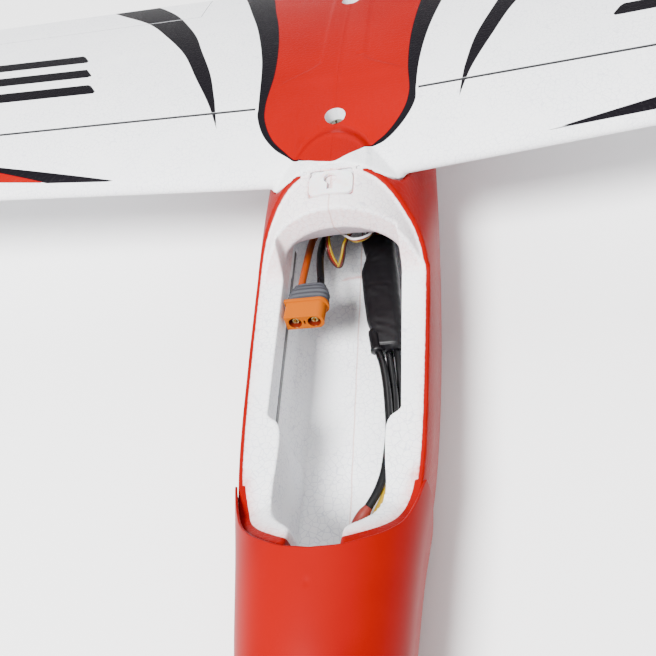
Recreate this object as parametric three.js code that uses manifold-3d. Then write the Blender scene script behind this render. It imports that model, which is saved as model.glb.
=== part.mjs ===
// Electric-powered foam glider, canopy hatch off, standing on its belly.
// Millimetres. Z is up, -Y is the nose, +X is the port (left) side.
// Everything is placed from one datum: the middle of the front wing screw's recess,
// on the upper surface of the wing. The group at the end moves that datum so that the
// origin is under the middle of the whole object, on the surface it stands on.

import * as THREE from 'three';
import { mergeVertices } from 'three/addons/utils/BufferGeometryUtils.js';
import Module from 'manifold-3d';

const wasm = await Module();
wasm.setup();

// ---------------------------------------------------------------- driving dimensions

const BELLY = -90;              // the flat belly that the model stands on
const SPINNER_TIP = -345;       // foremost point
const TAIL_END = 645;           // rudder trailing edge
const GAP = 0.35;               // clearance between pieces that touch
const SEAM = 0.15;              // half the glue line between left and right mouldings

// Fuselage skin: [station, half width, top, height of the widest point, bottom]
const STATIONS = [
  [-296, 19.6, -26.5, -47, -69.5],
  [-262, 25, -19.5, -43.5, -79],
  [-232, 28.8, -14, -40.5, -85.5],
  [-200, 32.4, -11.7, -40, -88],
  [-160, 38.2, -7.5, -44, -92],
  [-110, 41, -2, -49, -94],
  [-60, 41.9, 1.6, -50, -94],
  [-33, 41.9, 2.6, -50, -94],
  [0, 41.6, -1, -50, -93.5],
  [40, 40.2, -9, -50, -92],
  [100, 34, -15, -49, -87],
  [150, 28, -18, -47, -80],
  [220, 22, -21, -44, -69],
  [320, 16.5, -24, -40, -58.5],
  [450, 12.5, -26, -37.5, -50],
  [592, 9, -27, -35.5, -45],
];
const NOSE_FOAM = -284;         // where the foam nose begins, behind the motor plate
const FUSELAGE_END = 590;

// Wing
const WING = {
  halfSpan: 700, rootLE: -32.7, sweepLE: 0.049, rootTE: 151.4, sweepTE: -0.045,
  rootZ: -12.2, dihedral: 0.053, incidence: 0.0663, camber: 0.028, camberAt: 0.4,
  thickness: 0.12, edge: 1.2,
};
const AILERON = { inner: 88, outer: 640, chord: 30, bevel: 0.7, gap: 0.6 };
const SPAR_Y = 10.2;

// Canopy opening and battery bay
const RAIL_Z = -32;
const BAY_FLOOR = -74;
const THRUST_Z = -48;

// Tail
const STAB = { half: 208, z: -35, le: 455, leSweep: 0.1, hinge: 549, te: 590, thick: 7 };
const FIN = { root: 472, tipLE: 548, hinge: 600, te: TAIL_END, z0: -27, z1: 118, thick: 8 };
const ELEVATOR_INNER = 18;
const RUDDER_BOTTOM = -50;

// ---------------------------------------------------------------- solids and booleans

function toSolid(geometry) {
  const bare = geometry.clone();
  for (const name of Object.keys(bare.attributes)) {
    if (name !== 'position') bare.deleteAttribute(name);
  }
  const merged = mergeVertices(bare, 1e-4);
  const solid = new wasm.Manifold(new wasm.Mesh({
    numProp: 3,
    vertProperties: new Float32Array(merged.attributes.position.array),
    triVerts: new Uint32Array(merged.index.array),
  }));
  return solid.volume() > 0 ? solid : toSolid(flipped(merged));
}

// The same surface with its faces turned the other way out.
function flipped(geometry) {
  const turned = geometry.clone();
  const index = Array.from(geometry.index.array);
  for (let i = 0; i < index.length; i += 3) {
    [index[i + 1], index[i + 2]] = [index[i + 2], index[i + 1]];
  }
  turned.setIndex(index);
  return turned;
}

function toGeometry(solid) {
  const mesh = solid.getMesh();
  const geometry = new THREE.BufferGeometry();
  geometry.setAttribute('position', new THREE.BufferAttribute(mesh.vertProperties.slice(), 3));
  geometry.setIndex(new THREE.BufferAttribute(mesh.triVerts.slice(), 1));
  geometry.computeVertexNormals();
  return geometry;
}

const join = (...solids) => solids.reduce((a, b) => a.add(b));
const cut = (solid, ...tools) => tools.reduce((a, b) => a.subtract(b), solid);
const common = (a, b) => a.intersect(b);

function box(x0, x1, y0, y1, z0, z1) {
  const geometry = new THREE.BoxGeometry(x1 - x0, y1 - y0, z1 - z0);
  geometry.translate((x0 + x1) / 2, (y0 + y1) / 2, (z0 + z1) / 2);
  return toSolid(geometry);
}

// A cylinder from point a to point b.
function rod(a, b, radius, sides = 12) {
  const from = new THREE.Vector3(...a);
  const to = new THREE.Vector3(...b);
  const along = to.clone().sub(from);
  const geometry = new THREE.CylinderGeometry(radius, radius, along.length(), sides);
  const turn = new THREE.Quaternion().setFromUnitVectors(
    new THREE.Vector3(0, 1, 0), along.clone().normalize());
  geometry.applyQuaternion(turn);
  geometry.translate((from.x + to.x) / 2, (from.y + to.y) / 2, (from.z + to.z) / 2);
  return toSolid(geometry);
}

// A body of revolution about the Y axis at height z; the profile is [radius, y] pairs.
function turned(profile, z, sides = 24) {
  const points = profile.map(([r, y]) => new THREE.Vector2(r, y));
  return toSolid(new THREE.LatheGeometry(points, sides).translate(0, 0, z));
}

// A closed skin over rings that all have the same number of points. The end caps are made
// of `ears` (any outline), or of rungs across a ring that is folded at its first `point` or `edge`.
function loft(rings, caps = 'ears') {
  const count = rings[0].length;
  const positions = rings.flat().flatMap((p) => [p.x, p.y, p.z]);
  const index = [];
  for (let i = 0; i + 1 < rings.length; i += 1) {
    for (let j = 0; j < count; j += 1) {
      const k = (j + 1) % count;
      const a = i * count + j;
      const b = i * count + k;
      index.push(a, b, b + count, a, b + count, a + count);
    }
  }
  const last = (rings.length - 1) * count;
  for (const [first, flip] of [[0, true], [last, false]]) {
    const ring = first === 0 ? rings[0] : rings[rings.length - 1];
    for (const [a, b, c] of caps === 'ears' ? ears(ring) : rungs(count, caps)) {
      if (flip) index.push(first + c, first + b, first + a);
      else index.push(first + a, first + b, first + c);
    }
  }
  const geometry = new THREE.BufferGeometry();
  geometry.setAttribute('position', new THREE.Float32BufferAttribute(positions, 3));
  geometry.setIndex(index);
  return toSolid(geometry);
}

function rungs(count, start) {
  const triangles = start === 'point' ? [[0, 1, count - 1]] : [];
  let i = start === 'point' ? 1 : 0;
  let j = count - 1;
  while (j - i > 1) {
    triangles.push([i, i + 1, j]);
    i += 1;
    if (j - i > 1) {
      triangles.push([i, j - 1, j]);
      j -= 1;
    }
  }
  return triangles;
}

// Triangles that close a plane ring, turning the same way as the ring does.
function ears(ring) {
  const normal = new THREE.Vector3();
  ring.forEach((p, i) => {
    const q = ring[(i + 1) % ring.length];
    normal.add(new THREE.Vector3().crossVectors(p, q));
  });
  normal.normalize();
  const side = Math.abs(normal.x) > 0.8 ? new THREE.Vector3(0, 1, 0) : new THREE.Vector3(1, 0, 0);
  const u = side.clone().addScaledVector(normal, -side.dot(normal)).normalize();
  const v = new THREE.Vector3().crossVectors(normal, u);
  const flat = ring.map((p) => new THREE.Vector2(p.dot(u), p.dot(v)));
  return THREE.ShapeUtils.triangulateShape(flat, []);
}

// A polygon of [y, z] points pushed along X, sheared up by `slope` per millimetre of x.
function alongX(polygon, x0, x1, slope = 0) {
  const ring = (x) => polygon.map(([y, z]) => new THREE.Vector3(x, y, z + slope * Math.abs(x)));
  return loft([ring(x0), ring(x1)]);
}

// A polygon of [x, y] points pushed along Z.
function alongZ(polygon, z0, z1) {
  const ring = (z) => polygon.map(([x, y]) => new THREE.Vector3(x, y, z));
  return loft([ring(z0), ring(z1)]);
}

// A block with a flat top whose underside follows floor(x, y).
function blockOver(xs, ys, floor, top) {
  const rings = ys.map((y) => {
    const under = xs.map((x) => new THREE.Vector3(x, y, floor(x, y)));
    const over = xs.map((x) => new THREE.Vector3(x, y, top)).reverse();
    return [...under, ...over];
  });
  return loft(rings, 'edge');
}

function range(from, to, count) {
  return Array.from({ length: count }, (_, i) => from + ((to - from) * i) / (count - 1));
}

// Equally spaced angles once round a circle.
const around = (count) => range(0, 2 * Math.PI, count + 1).slice(0, count);

// ---------------------------------------------------------------- fuselage skin

// Smooth interpolation of the station rows at y, one column at a time.
function stationAt(y) {
  const last = STATIONS.length - 1;
  let i = STATIONS.findIndex((row) => row[0] > y) - 1;
  if (i < 0) i = y <= STATIONS[0][0] ? 0 : last - 1;
  const slope = (k, c) => {
    const a = STATIONS[Math.max(k - 1, 0)];
    const b = STATIONS[Math.min(k + 1, last)];
    return (b[c] - a[c]) / (b[0] - a[0]);
  };
  const [p, q] = [STATIONS[i], STATIONS[i + 1]];
  const h = q[0] - p[0];
  const t = THREE.MathUtils.clamp((y - p[0]) / h, 0, 1);
  return [1, 2, 3, 4].map((c) => {
    const bend = (1 - t) * (1 - t) * t * h * slope(i, c) - (1 - t) * t * t * h * slope(i + 1, c);
    const ease = t * t * (3 - 2 * t);
    return p[c] + (q[c] - p[c]) * ease + bend;
  });
}

// One ring of the skin, pushed outwards by `grow`; round above, squarer below.
function skinRing(y, grow) {
  const [halfWidth, top, mid, bottom] = stationAt(y);
  return around(SKIN_SIDES).map((angle) => {
    const power = Math.sin(angle) < 0 ? 2 / 2.5 : 1;
    const x = Math.sign(Math.cos(angle)) * Math.abs(Math.cos(angle)) ** power;
    const z = Math.sign(Math.sin(angle)) * Math.abs(Math.sin(angle)) ** power;
    const height = z > 0 ? top - mid : mid - bottom;
    return new THREE.Vector3(
      x * (halfWidth + grow), y, Math.max(mid + z * (height + grow), BELLY - grow));
  });
}

// Every skin has its rings at the same stations, so that nested skins never cross.
const SKIN_RINGS = [-284, -270, -255, -240, -224, -208, -192, -176, -160, -140, -118, -96, -76,
  -60, -46, -33, -16, 0, 20, 45, 75, 110, 150, 220, 320, 450];
const SKIN_SIDES = 32;

function skin(y0, y1, grow = 0) {
  const between = SKIN_RINGS.filter((y) => y > y0 + 1 && y < y1 - 1);
  return loft([y0, ...between, y1].map((y) => skinRing(y, grow)), 'point');
}

// ---------------------------------------------------------------- wing surface

const chordLE = (x) => WING.rootLE + WING.sweepLE * Math.abs(x);
const chordTE = (x) => WING.rootTE + WING.sweepTE * Math.abs(x);
const chordZ = (x, y) => WING.rootZ + WING.dihedral * Math.abs(x)
  - WING.incidence * (y - chordLE(x));
const hingeY = (x) => chordTE(x) - AILERON.chord;

function camberLine(s) {
  const p = WING.camberAt;
  if (s < p) return (WING.camber / (p * p)) * (2 * p * s - s * s);
  return (WING.camber / ((1 - p) * (1 - p))) * (1 - 2 * p + 2 * p * s - s * s);
}

function halfThickness(s) {
  return 5 * WING.thickness * (0.2969 * Math.sqrt(s) - 0.126 * s - 0.3516 * s * s
    + 0.2843 * s ** 3 - 0.1015 * s ** 4);
}

// Height of the wing surface at (x, y): side +1 is the upper surface, -1 the lower.
function wingZ(x, y, side) {
  const chord = chordTE(x) - chordLE(x);
  const s = THREE.MathUtils.clamp((y - chordLE(x)) / chord, 0, 1);
  const edge = (WING.edge / 2) * Math.min(1, s * 4);
  const tip = tipShrink(x);
  return chordZ(x, y) + tip * (chord * (camberLine(s) + side * halfThickness(s)) + side * edge);
}

// The section gets thinner over the last part of the span, which rounds the tip.
function tipShrink(x) {
  const t = THREE.MathUtils.clamp((Math.abs(x) - (WING.halfSpan - 30)) / 30, 0, 1);
  return Math.sqrt(1 - 0.9 * t * t);
}

function wingRing(x) {
  const chord = chordTE(x) - chordLE(x);
  const steps = range(0, Math.PI, WING_POINTS + 1).map((a) => (1 - Math.cos(a)) / 2);
  const pull = 1 - tipShrink(x);
  const at = (s, side) => {
    const y = chordLE(x) + s * chord;
    const squeezed = y + pull * (0.45 - s) * 60;
    return new THREE.Vector3(x, squeezed, wingZ(x, y, side));
  };
  const upper = steps.map((s) => at(s, 1));
  const lower = steps.slice(1).reverse().map((s) => at(s, -1));
  return [...upper, ...lower];
}

const WING_STATIONS = [SEAM, 60, 300, 670, 683, 692, 697.5, WING.halfSpan];
const WING_POINTS = 14;

// ---------------------------------------------------------------- nodes and materials

const datum = new THREE.Group();
datum.position.set(0, -(SPINNER_TIP + TAIL_END) / 2, -BELLY);

const FINISH = {
  foam: { color: 0xf1f2f4, roughness: 0.75, metalness: 0 },
  red: { color: 0xe0240c, roughness: 0.38, metalness: 0 },
  black: { color: 0x17181a, roughness: 0.4, metalness: 0 },
  charcoal: { color: 0x35343a, roughness: 0.5, metalness: 0 },
  grey: { color: 0x50545c, roughness: 0.5, metalness: 0 },
  orange: { color: 0xff9010, roughness: 0.35, metalness: 0 },
  orangeWire: { color: 0xf2660c, roughness: 0.4, metalness: 0 },
  carbon: { color: 0x1c1c1f, roughness: 0.35, metalness: 0 },
  steel: { color: 0xb9bcc0, roughness: 0.3, metalness: 1 },
  alloy: { color: 0x8f939a, roughness: 0.35, metalness: 1 },
  ply: { color: 0xc8a06a, roughness: 0.7, metalness: 0 },
  whitePlastic: { color: 0xeef0f2, roughness: 0.4, metalness: 0 },
  servo: { color: 0x2a3a66, roughness: 0.35, metalness: 0 },
  leads: { color: 0xd9b020, roughness: 0.5, metalness: 0 },
};

function add(name, solid, finish) {
  const mesh = new THREE.Mesh(toGeometry(solid), new THREE.MeshStandardMaterial(FINISH[finish]));
  mesh.name = name;
  datum.add(mesh);
}

// The same piece on the other side of the centre plane.
function mirrored(solid) {
  return toSolid(toGeometry(solid).clone().scale(-1, 1, 1));
}

// ---------------------------------------------------------------- openings in the fuselage

// The seat of the hatch: level rails, a ramp up to the nose and a step up to the wing.
// The ramp is [distance along the ramp line, height], and it curves back at the sides.
const RAMP = [[-202.6, -12], [-197.5, -14.6], [-190, -19.8], [-182, -26], [-175, -30.6], [-169, RAIL_Z]];
const RAMP_CURVE = 0.008;

function seatHeight(x, y) {
  const s = y + RAMP_CURVE * x * x;
  const k = RAMP.findIndex(([at]) => at > s);
  if (k === 0) return RAMP[0][1] + (RAMP[0][0] - s) * 6;
  if (k < 0) return RAIL_Z;
  const [[s0, z0], [s1, z1]] = [RAMP[k - 1], RAMP[k]];
  return z0 + ((z1 - z0) * (s - s0)) / (s1 - s0);
}

const ABOVE = 40;
const REAR_STEP = [[-69, RAIL_Z], [-66.6, -28.7], [-60, -9.6], [-59.3, -0.3], [-59, ABOVE]];
// Where the rear rim of the hatch meets the skin, seen from the side.
const REAR_RIM = [[-34, ABOVE], [-34, 2.6], [-36, -0.8], [-38, -4.2], [-42.6, -9.4],
  [-48.5, -15.2], [-54.2, -21.6], [-60.6, -26.8], [-69, -30.4], [-80, RAIL_Z]];
const LIP_DEPTH = 2.6;

function seatCutter() {
  const xs = range(-48, 48, 13);
  const ys = [...range(-206, -166, 9), -69];
  const front = blockOver(xs, ys, seatHeight, ABOVE);
  const rear = alongX([[-69.5, ABOVE], [-69.5, RAIL_Z], ...REAR_STEP], -48, 48);
  const lip = cut(
    alongX([[-80, ABOVE], ...[...REAR_RIM].reverse()], -48, 48),
    skin(-90, -20, -LIP_DEPTH));
  return join(front, rear, common(lip, box(-48, 48, -69.2, -33, RAIL_Z, ABOVE)));
}

// Battery bay: straight walls with a chamfer along the floor, narrower beside the pads.
const BAY_PLAN = [[26.9, -58], [26.9, -139], [21.8, -144], [21, -177], [17.5, -185.5], [11.5, -191],
  [9, -193.4]];

function bayCutter() {
  const right = BAY_PLAN;
  const left = BAY_PLAN.map(([x, y]) => [-x, y]).reverse();
  const plan = alongZ([...right, ...left], BAY_FLOOR, ABOVE);
  const walls = loft([-200, -50].map((y) => [
    [-28, ABOVE], [-28, -60], [-21, BAY_FLOOR], [21, BAY_FLOOR], [28, -60], [28, ABOVE],
  ].map(([x, z]) => new THREE.Vector3(x, y, z))));
  const notch = box(-9.4, 9.4, -207, -185, -42, ABOVE);
  return join(common(plan, walls), notch);
}

// The tunnel under the wing: an arch at the bay that drops to a low flat roof.
function tunnelCutter() {
  const arch = (y, top, spring, half, floor) => {
    const round = range(0, Math.PI, 11).map((a) => new THREE.Vector3(
      half * Math.cos(a), y, spring + (top - spring) * Math.sin(a) ** 1.1));
    return [...round, new THREE.Vector3(-half, y, -60), new THREE.Vector3(-half + 7, y, floor),
      new THREE.Vector3(half - 7, y, floor), new THREE.Vector3(half, y, -60)];
  };
  return loft([
    arch(-69.5, -7, RAIL_Z - 2, 26.2, BAY_FLOOR), arch(-60.2, -10, RAIL_Z - 2, 26.5, BAY_FLOOR),
    arch(-48.8, -27.3, -34, 26.5, BAY_FLOOR), arch(-42, -35, -40, 26.5, BAY_FLOOR),
    arch(40, -36, -41, 25, BAY_FLOOR + 2), arch(78, -38, -43, 20, BAY_FLOOR + 4),
  ]);
}

// Room for the motor, and the way from the bay to it for the motor leads.
function motorRoom() {
  return join(
    rod([0, NOSE_FOAM - 2, THRUST_Z], [0, -228, THRUST_Z], 17.5, 16),
    box(-16, 16, -240, -188, -70, -38));
}

// ---------------------------------------------------------------- wing

const PORT_HINGE = {
  inner: new THREE.Vector3(AILERON.inner, hingeY(AILERON.inner), 0),
  outer: new THREE.Vector3(AILERON.outer, hingeY(AILERON.outer), 0),
};
for (const end of Object.values(PORT_HINGE)) end.z = wingZ(end.x, end.y, 1);

// Prism behind the hinge line, from x0 to x1: `open` moves its front face off the line,
// and the face leans back below the line by the bevel.
function behindHinge(x0, x1, open, bevel) {
  const ring = (x) => {
    const t = (x - AILERON.inner) / (AILERON.outer - AILERON.inner);
    const h = PORT_HINGE.inner.clone().lerp(PORT_HINGE.outer, t);
    return [[open, 12], [open, 0.2], [open + bevel * 16, -16], [60, -16], [60, 12]].map(
      ([dy, dz]) => new THREE.Vector3(x, h.y + dy, h.z + dz));
  };
  return loft([ring(x0), ring(x1)]);
}

const wingFoam = loft(WING_STATIONS.map((x) => wingRing(x)), 'point');

// The hump behind the canopy: the fuselage's own skin carried on over the wing root.
const ROOT_FRONT = [[-33.4, ABOVE], [-33.4, 3], [-36.2, -4.5], [-36.2, -9.5], [-34.4, -13.2],
  [-31, -16.1], [-24, -19.3]];

// Outline of the wing root seen from the side, from its front back to y1, moved out by `grow`.
function rootOutline(y1, grow) {
  const front = ROOT_FRONT.map(([y, z]) => [y - grow, z - (z < 0 ? grow : 0)]);
  const under = range(-15, y1, 10).map((y) => [y, wingZ(0, y, -1) - grow]);
  return [...front, ...under, [y1, ABOVE]];
}

const hump = common(
  common(skin(-45, 30), box(SEAM, 48, -45, 20, -30, ABOVE)),
  alongX(rootOutline(20, 0), SEAM, 48, WING.dihedral));

// Everything that the wing root takes out of the fuselage.
function saddleCutter() {
  const outline = rootOutline(WING.rootTE + 1, GAP);
  return join(alongX(outline, -0.01, 60, WING.dihedral), alongX(outline, -60, 0.01, WING.dihedral));
}

const SCREWS = [
  { name: 'wing_screw_front', y: 0, top: 0 },
  { name: 'wing_screw_rear', y: 113.8, top: -13.4 },
];
const SCREW = { recess: 4.9, sink: 4.5, head: 4.2, headDeep: 2.8, shank: 2.4, tip: -36 };
const PLATE_TOP = -29;
const PLATE_DEEP = 3;

function screwHoles(y, top) {
  return join(
    rod([0, y, top - SCREW.sink - SCREW.headDeep - 0.3], [0, y, top + 12], SCREW.recess, 20),
    rod([0, y, -60], [0, y, top], SCREW.shank + GAP, 12));
}

const JOINER = { half: 95, y: 28, r: 3 };
const joinerZ = chordZ(0, JOINER.y) + 3;
const joinerRoom = rod([-1, JOINER.y, joinerZ], [JOINER.half + 1, JOINER.y, joinerZ],
  JOINER.r + GAP, 12);

const SPAR = { inner: 39, outer: 620, wide: 1.4, deep: 6 };

function sparSolid(grow, above) {
  const w = SPAR.wide / 2 + grow;
  const xs = [SPAR.inner - grow, 150, 300, 450, SPAR.outer + grow];
  return loft(xs.map((x) => {
    const top = wingZ(x, SPAR_Y, 1) + above;
    return [[-w, top], [w, top], [w, top - above - SPAR.deep - grow],
      [-w, top - above - SPAR.deep - grow]].map(([dy, z]) => new THREE.Vector3(x, SPAR_Y + dy, z));
  }));
}

// ---------------------------------------------------------------- control linkages

// A control surface, its horn, a pushrod and a servo arm make a parallelogram.
// Local axes: x along the hinge, y aft, z from the hinge towards the rod.
const LINK = { arm: 14, plate: 1.6, rod: 0.8, offset: 2.4, hole: 1.2 };

function frameAt(origin, along, aft) {
  const x = along.clone().normalize();
  const y = aft.clone().addScaledVector(x, -aft.dot(x)).normalize();
  const z = new THREE.Vector3().crossVectors(x, y);
  return new THREE.Matrix4().makeBasis(x, y, z).setPosition(origin);
}

function placed(solid, matrix) {
  return toSolid(toGeometry(solid).clone().applyMatrix4(matrix));
}

function plateAlong(polygon) {
  return loft([-LINK.plate / 2, LINK.plate / 2].map(
    (x) => polygon.map(([y, z]) => new THREE.Vector3(x, y, z))));
}

function hornSolid(foot) {
  const blade = plateAlong([[-1.8, LINK.arm + 1.6], [1.8, LINK.arm + 1.6], [13, foot + 1], [13, foot],
    [2.5, foot], [-1.8, LINK.arm - 2]]);
  const hole = rod([-3, 0, LINK.arm], [3, 0, LINK.arm], LINK.hole, 10);
  return cut(join(blade, box(-4, 4, 2.5, 14, foot, foot + 1.2)), hole);
}

const HUB_STEP = 0.6;

function armSolid(length) {
  const y = -length;
  const blade = plateAlong([[y - 3.2, 0], [y - 1.9, LINK.arm + 1.2], [y, LINK.arm + 2.2],
    [y + 1.9, LINK.arm + 1.2], [y + 3.2, 0]]);
  const hub = rod([-LINK.plate / 2 - HUB_STEP, y, 0], [LINK.plate / 2, y, 0], 3.6, 12);
  const hole = rod([-3, y, LINK.arm], [3, y, LINK.arm], LINK.hole, 10);
  return cut(join(blade, hub), hole);
}

function pushrodSolid(length) {
  const at = LINK.offset;
  const pin = (y) => rod([-at, y, LINK.arm], [at + LINK.rod * 0.7, y, LINK.arm], LINK.rod, 6);
  const wire = rod([at, -length - 0.7, LINK.arm], [at, 0.7, LINK.arm], LINK.rod, 6);
  const keeper = rod([at, -4, LINK.arm], [at, -16, LINK.arm], 1.5, 6);
  return join(wire, keeper, pin(0), pin(-length));
}

const SERVO = { tall: 19, deep: 9, fore: 5.5, aft: 14.5, face: -2.2, ear: 4.5 };

function servoSolid(length) {
  const y = -length;
  const { tall, deep, fore, aft, face, ear } = SERVO;
  const body = box(face - tall, face, y - aft, y + fore, -deep / 2, deep / 2);
  const flange = box(face - 6, face - 4.4, y - aft - ear, y + fore + ear, -deep / 2, deep / 2);
  return join(body, flange, rod([face - 1, y, 0], [-LINK.plate / 2 - HUB_STEP - GAP, y, 0], 3, 12));
}

// Adds the five pieces of one linkage; `side` mirrors them to the other side if asked.
function addLinkage(surface, length, foot, matrix, side) {
  const put = (name, solid, finish) => {
    const there = placed(solid, matrix);
    add(name, side === 'mirror' ? mirrored(there) : there, finish);
  };
  put(`${surface}_horn`, hornSolid(foot), 'whitePlastic');
  put(`${surface}_servo`, servoSolid(length), 'servo');
  put(`${surface}_servo_arm`, armSolid(length), 'whitePlastic');
  put(`${surface}_pushrod`, pushrodSolid(length), 'steel');
}

// Pocket for a servo, open towards the rod side, with a slot for its arm.
function servoRoom(length, matrix, open) {
  const y = -length;
  const pocket = box(SERVO.face - SERVO.tall - 0.5, SERVO.face + 0.5, y - SERVO.aft - 5,
    y + SERVO.fore + 5, -SERVO.deep / 2 - 0.5, open);
  const slot = box(SERVO.face, 2, y - 10.5, y + 10.5, -4.4, open);
  return placed(join(pocket, slot), matrix);
}

// Ailerons: servo well forward of the hinge, in the underside of the wing.
const AILERON_ROD = 60;
const AILERON_LINK_X = 215;
const portHingeAxis = PORT_HINGE.outer.clone().sub(PORT_HINGE.inner).normalize();
const aileronPoint = PORT_HINGE.inner.clone().addScaledVector(
  portHingeAxis, (AILERON_LINK_X - AILERON.inner) / portHingeAxis.x);
const aileronFrame = frameAt(aileronPoint, portHingeAxis.clone().negate(),
  new THREE.Vector3(0, 1, -0.05));

// Tail: both servos sit in the boom, elevator to port and rudder to starboard.
const ELEVATOR_ROD = 119;
const ELEVATOR_LINK_X = 20;
const RUDDER_ROD = 212;
const RUDDER_LINK_Z = -19;
const elevatorFrame = frameAt(new THREE.Vector3(-ELEVATOR_LINK_X, STAB.hinge, STAB.z),
  new THREE.Vector3(-1, 0, 0), new THREE.Vector3(0, 1, 0));
const rudderFrame = frameAt(new THREE.Vector3(0, FIN.hinge, RUDDER_LINK_Z),
  new THREE.Vector3(0, 0, 1), new THREE.Vector3(0, 1, 0));

function addWing() {
  const holes = SCREWS.map(({ y, top }) => screwHoles(y, top));
  const aileronGapIn = behindHinge(AILERON.inner, AILERON.outer, -0.3, 0);
  const servoWell = servoRoom(AILERON_ROD, aileronFrame, 30);
  const panel = cut(join(wingFoam, hump), ...holes, aileronGapIn, servoWell, joinerRoom,
    sparSolid(GAP, 3));
  const aileron = common(wingFoam,
    behindHinge(AILERON.inner + 0.5, AILERON.outer - 0.5, AILERON.gap - 0.3, AILERON.bevel));
  const spar = sparSolid(0, -0.5);
  add('wing_left', panel, 'foam');
  add('wing_right', mirrored(panel), 'foam');
  add('aileron_left', aileron, 'foam');
  add('aileron_right', mirrored(aileron), 'foam');
  add('wing_spar_left', spar, 'carbon');
  add('wing_spar_right', mirrored(spar), 'carbon');
  add('wing_joiner', rod([-JOINER.half, JOINER.y, joinerZ], [JOINER.half, JOINER.y, joinerZ],
    JOINER.r, 12), 'carbon');
  addLinkage('left_aileron', AILERON_ROD, 9.8, aileronFrame, 'keep');
  addLinkage('right_aileron', AILERON_ROD, 9.8, aileronFrame, 'mirror');
  for (const { name, y, top } of SCREWS) {
    const headTop = top - SCREW.sink;
    const head = rod([0, y, headTop - SCREW.headDeep], [0, y, headTop], SCREW.head, 16);
    const slot = (turn) => placed(
      box(-2.4, 2.4, -0.45, 0.45, -1.3, 1),
      new THREE.Matrix4().makeRotationZ(turn).setPosition(0, y, headTop));
    const shank = rod([0, y, SCREW.tip], [0, y, headTop - 1], SCREW.shank, 10);
    add(name, cut(join(head, shank), slot(0.3), slot(0.3 + Math.PI / 2)), 'steel');
  }
  const plate = box(-14, 14, -14, 126, PLATE_TOP - PLATE_DEEP, PLATE_TOP);
  const threads = SCREWS.map(({ y }) => rod([0, y, -60], [0, y, 0], SCREW.shank + GAP, 12));
  add('wing_nut_plate', cut(plate, ...threads), 'ply');
}

// ---------------------------------------------------------------- tail

function plateSection(le, hinge, thick, cross, at) {
  const half = thick / 2;
  const nose = range(0.5, 1, 4).map((t) => {
    const a = Math.PI * t;
    return [le + half * 1.6 * (1 + Math.cos(a)), half * Math.sin(a)];
  });
  const outline = [[hinge, half], ...nose, ...nose.slice(0, -1).reverse().map(([y, c]) => [y, -c]),
    [hinge, -half]];
  return outline.map(([y, c]) => cross(y, c, at));
}

// A control surface: an arrow-shaped front at the hinge and a thin trailing edge.
function flapSection(hinge, te, thick, cross, at) {
  const half = thick / 2;
  const front = hinge + 0.7;
  const lean = half * 0.8;
  return [[front, 0], [front + lean, half], [te, 0.7], [te, -0.7], [front + lean, -half]].map(
    ([y, c]) => cross(y, c, at));
}

const level = (y, c, x) => new THREE.Vector3(x, y, STAB.z + c);
const upright = (y, c, z) => new THREE.Vector3(c, y, z);

function stabLE(x) {
  const t = Math.max(0, (Math.abs(x) - (STAB.half - 26)) / 26);
  return STAB.le + STAB.leSweep * Math.abs(x) + 26 * (1 - Math.sqrt(1 - 0.96 * t * t));
}

function stabTE(x) {
  const t = Math.max(0, (Math.abs(x) - (STAB.half - 16)) / 16);
  return STAB.te - 0.02 * Math.abs(x) - 16 * (1 - Math.sqrt(1 - 0.96 * t * t));
}

const FIN_LE_POWER = 1.5;

function finLE(z) {
  const t = THREE.MathUtils.clamp((z - FIN.z0) / (FIN.z1 - FIN.z0), 0, 1);
  return FIN.root + (FIN.tipLE - FIN.root) * (0.35 * t + 0.65 * t ** FIN_LE_POWER);
}

function rudderTE(z) {
  const top = Math.max(0, (z - (FIN.z1 - 20)) / 20);
  const low = Math.max(0, (RUDDER_BOTTOM + 14 - z) / 14);
  return FIN.te - 14 * (1 - Math.sqrt(1 - 0.96 * top * top)) - 14 * (1 - Math.sqrt(1 - 0.96 * low * low));
}

const TAIL_PIN = 1;

function addTail() {
  const tipXs = [182, 191, 199, 204.5, STAB.half];
  const xs = [...tipXs.map((x) => -x).reverse(), 0, ...tipXs];
  const stab = loft(xs.map((x) => plateSection(stabLE(x), STAB.hinge - 0.1, STAB.thick, level, x)));
  add('stabilizer', stab, 'foam');
  const joinerY = STAB.hinge + 3.4;
  const elevator = cut(
    loft([ELEVATOR_INNER, 192, 199, 204.5, STAB.half].map(
      (x) => flapSection(STAB.hinge, stabTE(x), STAB.thick, level, x))),
    rod([0, joinerY, STAB.z], [48, joinerY, STAB.z], TAIL_PIN + GAP, 10));
  add('elevator_left', elevator, 'foam');
  add('elevator_right', mirrored(elevator), 'foam');
  add('elevator_joiner', rod([-46, joinerY, STAB.z], [46, joinerY, STAB.z], TAIL_PIN, 8), 'steel');
  const zs = range(FIN.z0 - 2, FIN.z1, 7);
  const fin = cut(
    loft(zs.map((z) => plateSection(finLE(z), FIN.hinge - 0.1, FIN.thick, upright, z))),
    skin(440, 592, GAP), box(-20, 20, FUSELAGE_END - 20, FIN.hinge + 1, -60, -26));
  add('fin', fin, 'foam');
  const rudderZs = [...range(RUDDER_BOTTOM, RUDDER_BOTTOM + 14, 4), ...range(FIN.z1 - 20, FIN.z1, 5)];
  const rudder = loft(rudderZs.map(
    (z) => flapSection(FIN.hinge, rudderTE(z), FIN.thick, upright, z)));
  add('rudder', rudder, 'foam');
  addLinkage('elevator', ELEVATOR_ROD, 4.2, elevatorFrame, 'mirror');
  addLinkage('rudder', RUDDER_ROD, 4.6, rudderFrame, 'keep');
}

// ---------------------------------------------------------------- fuselage

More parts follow.
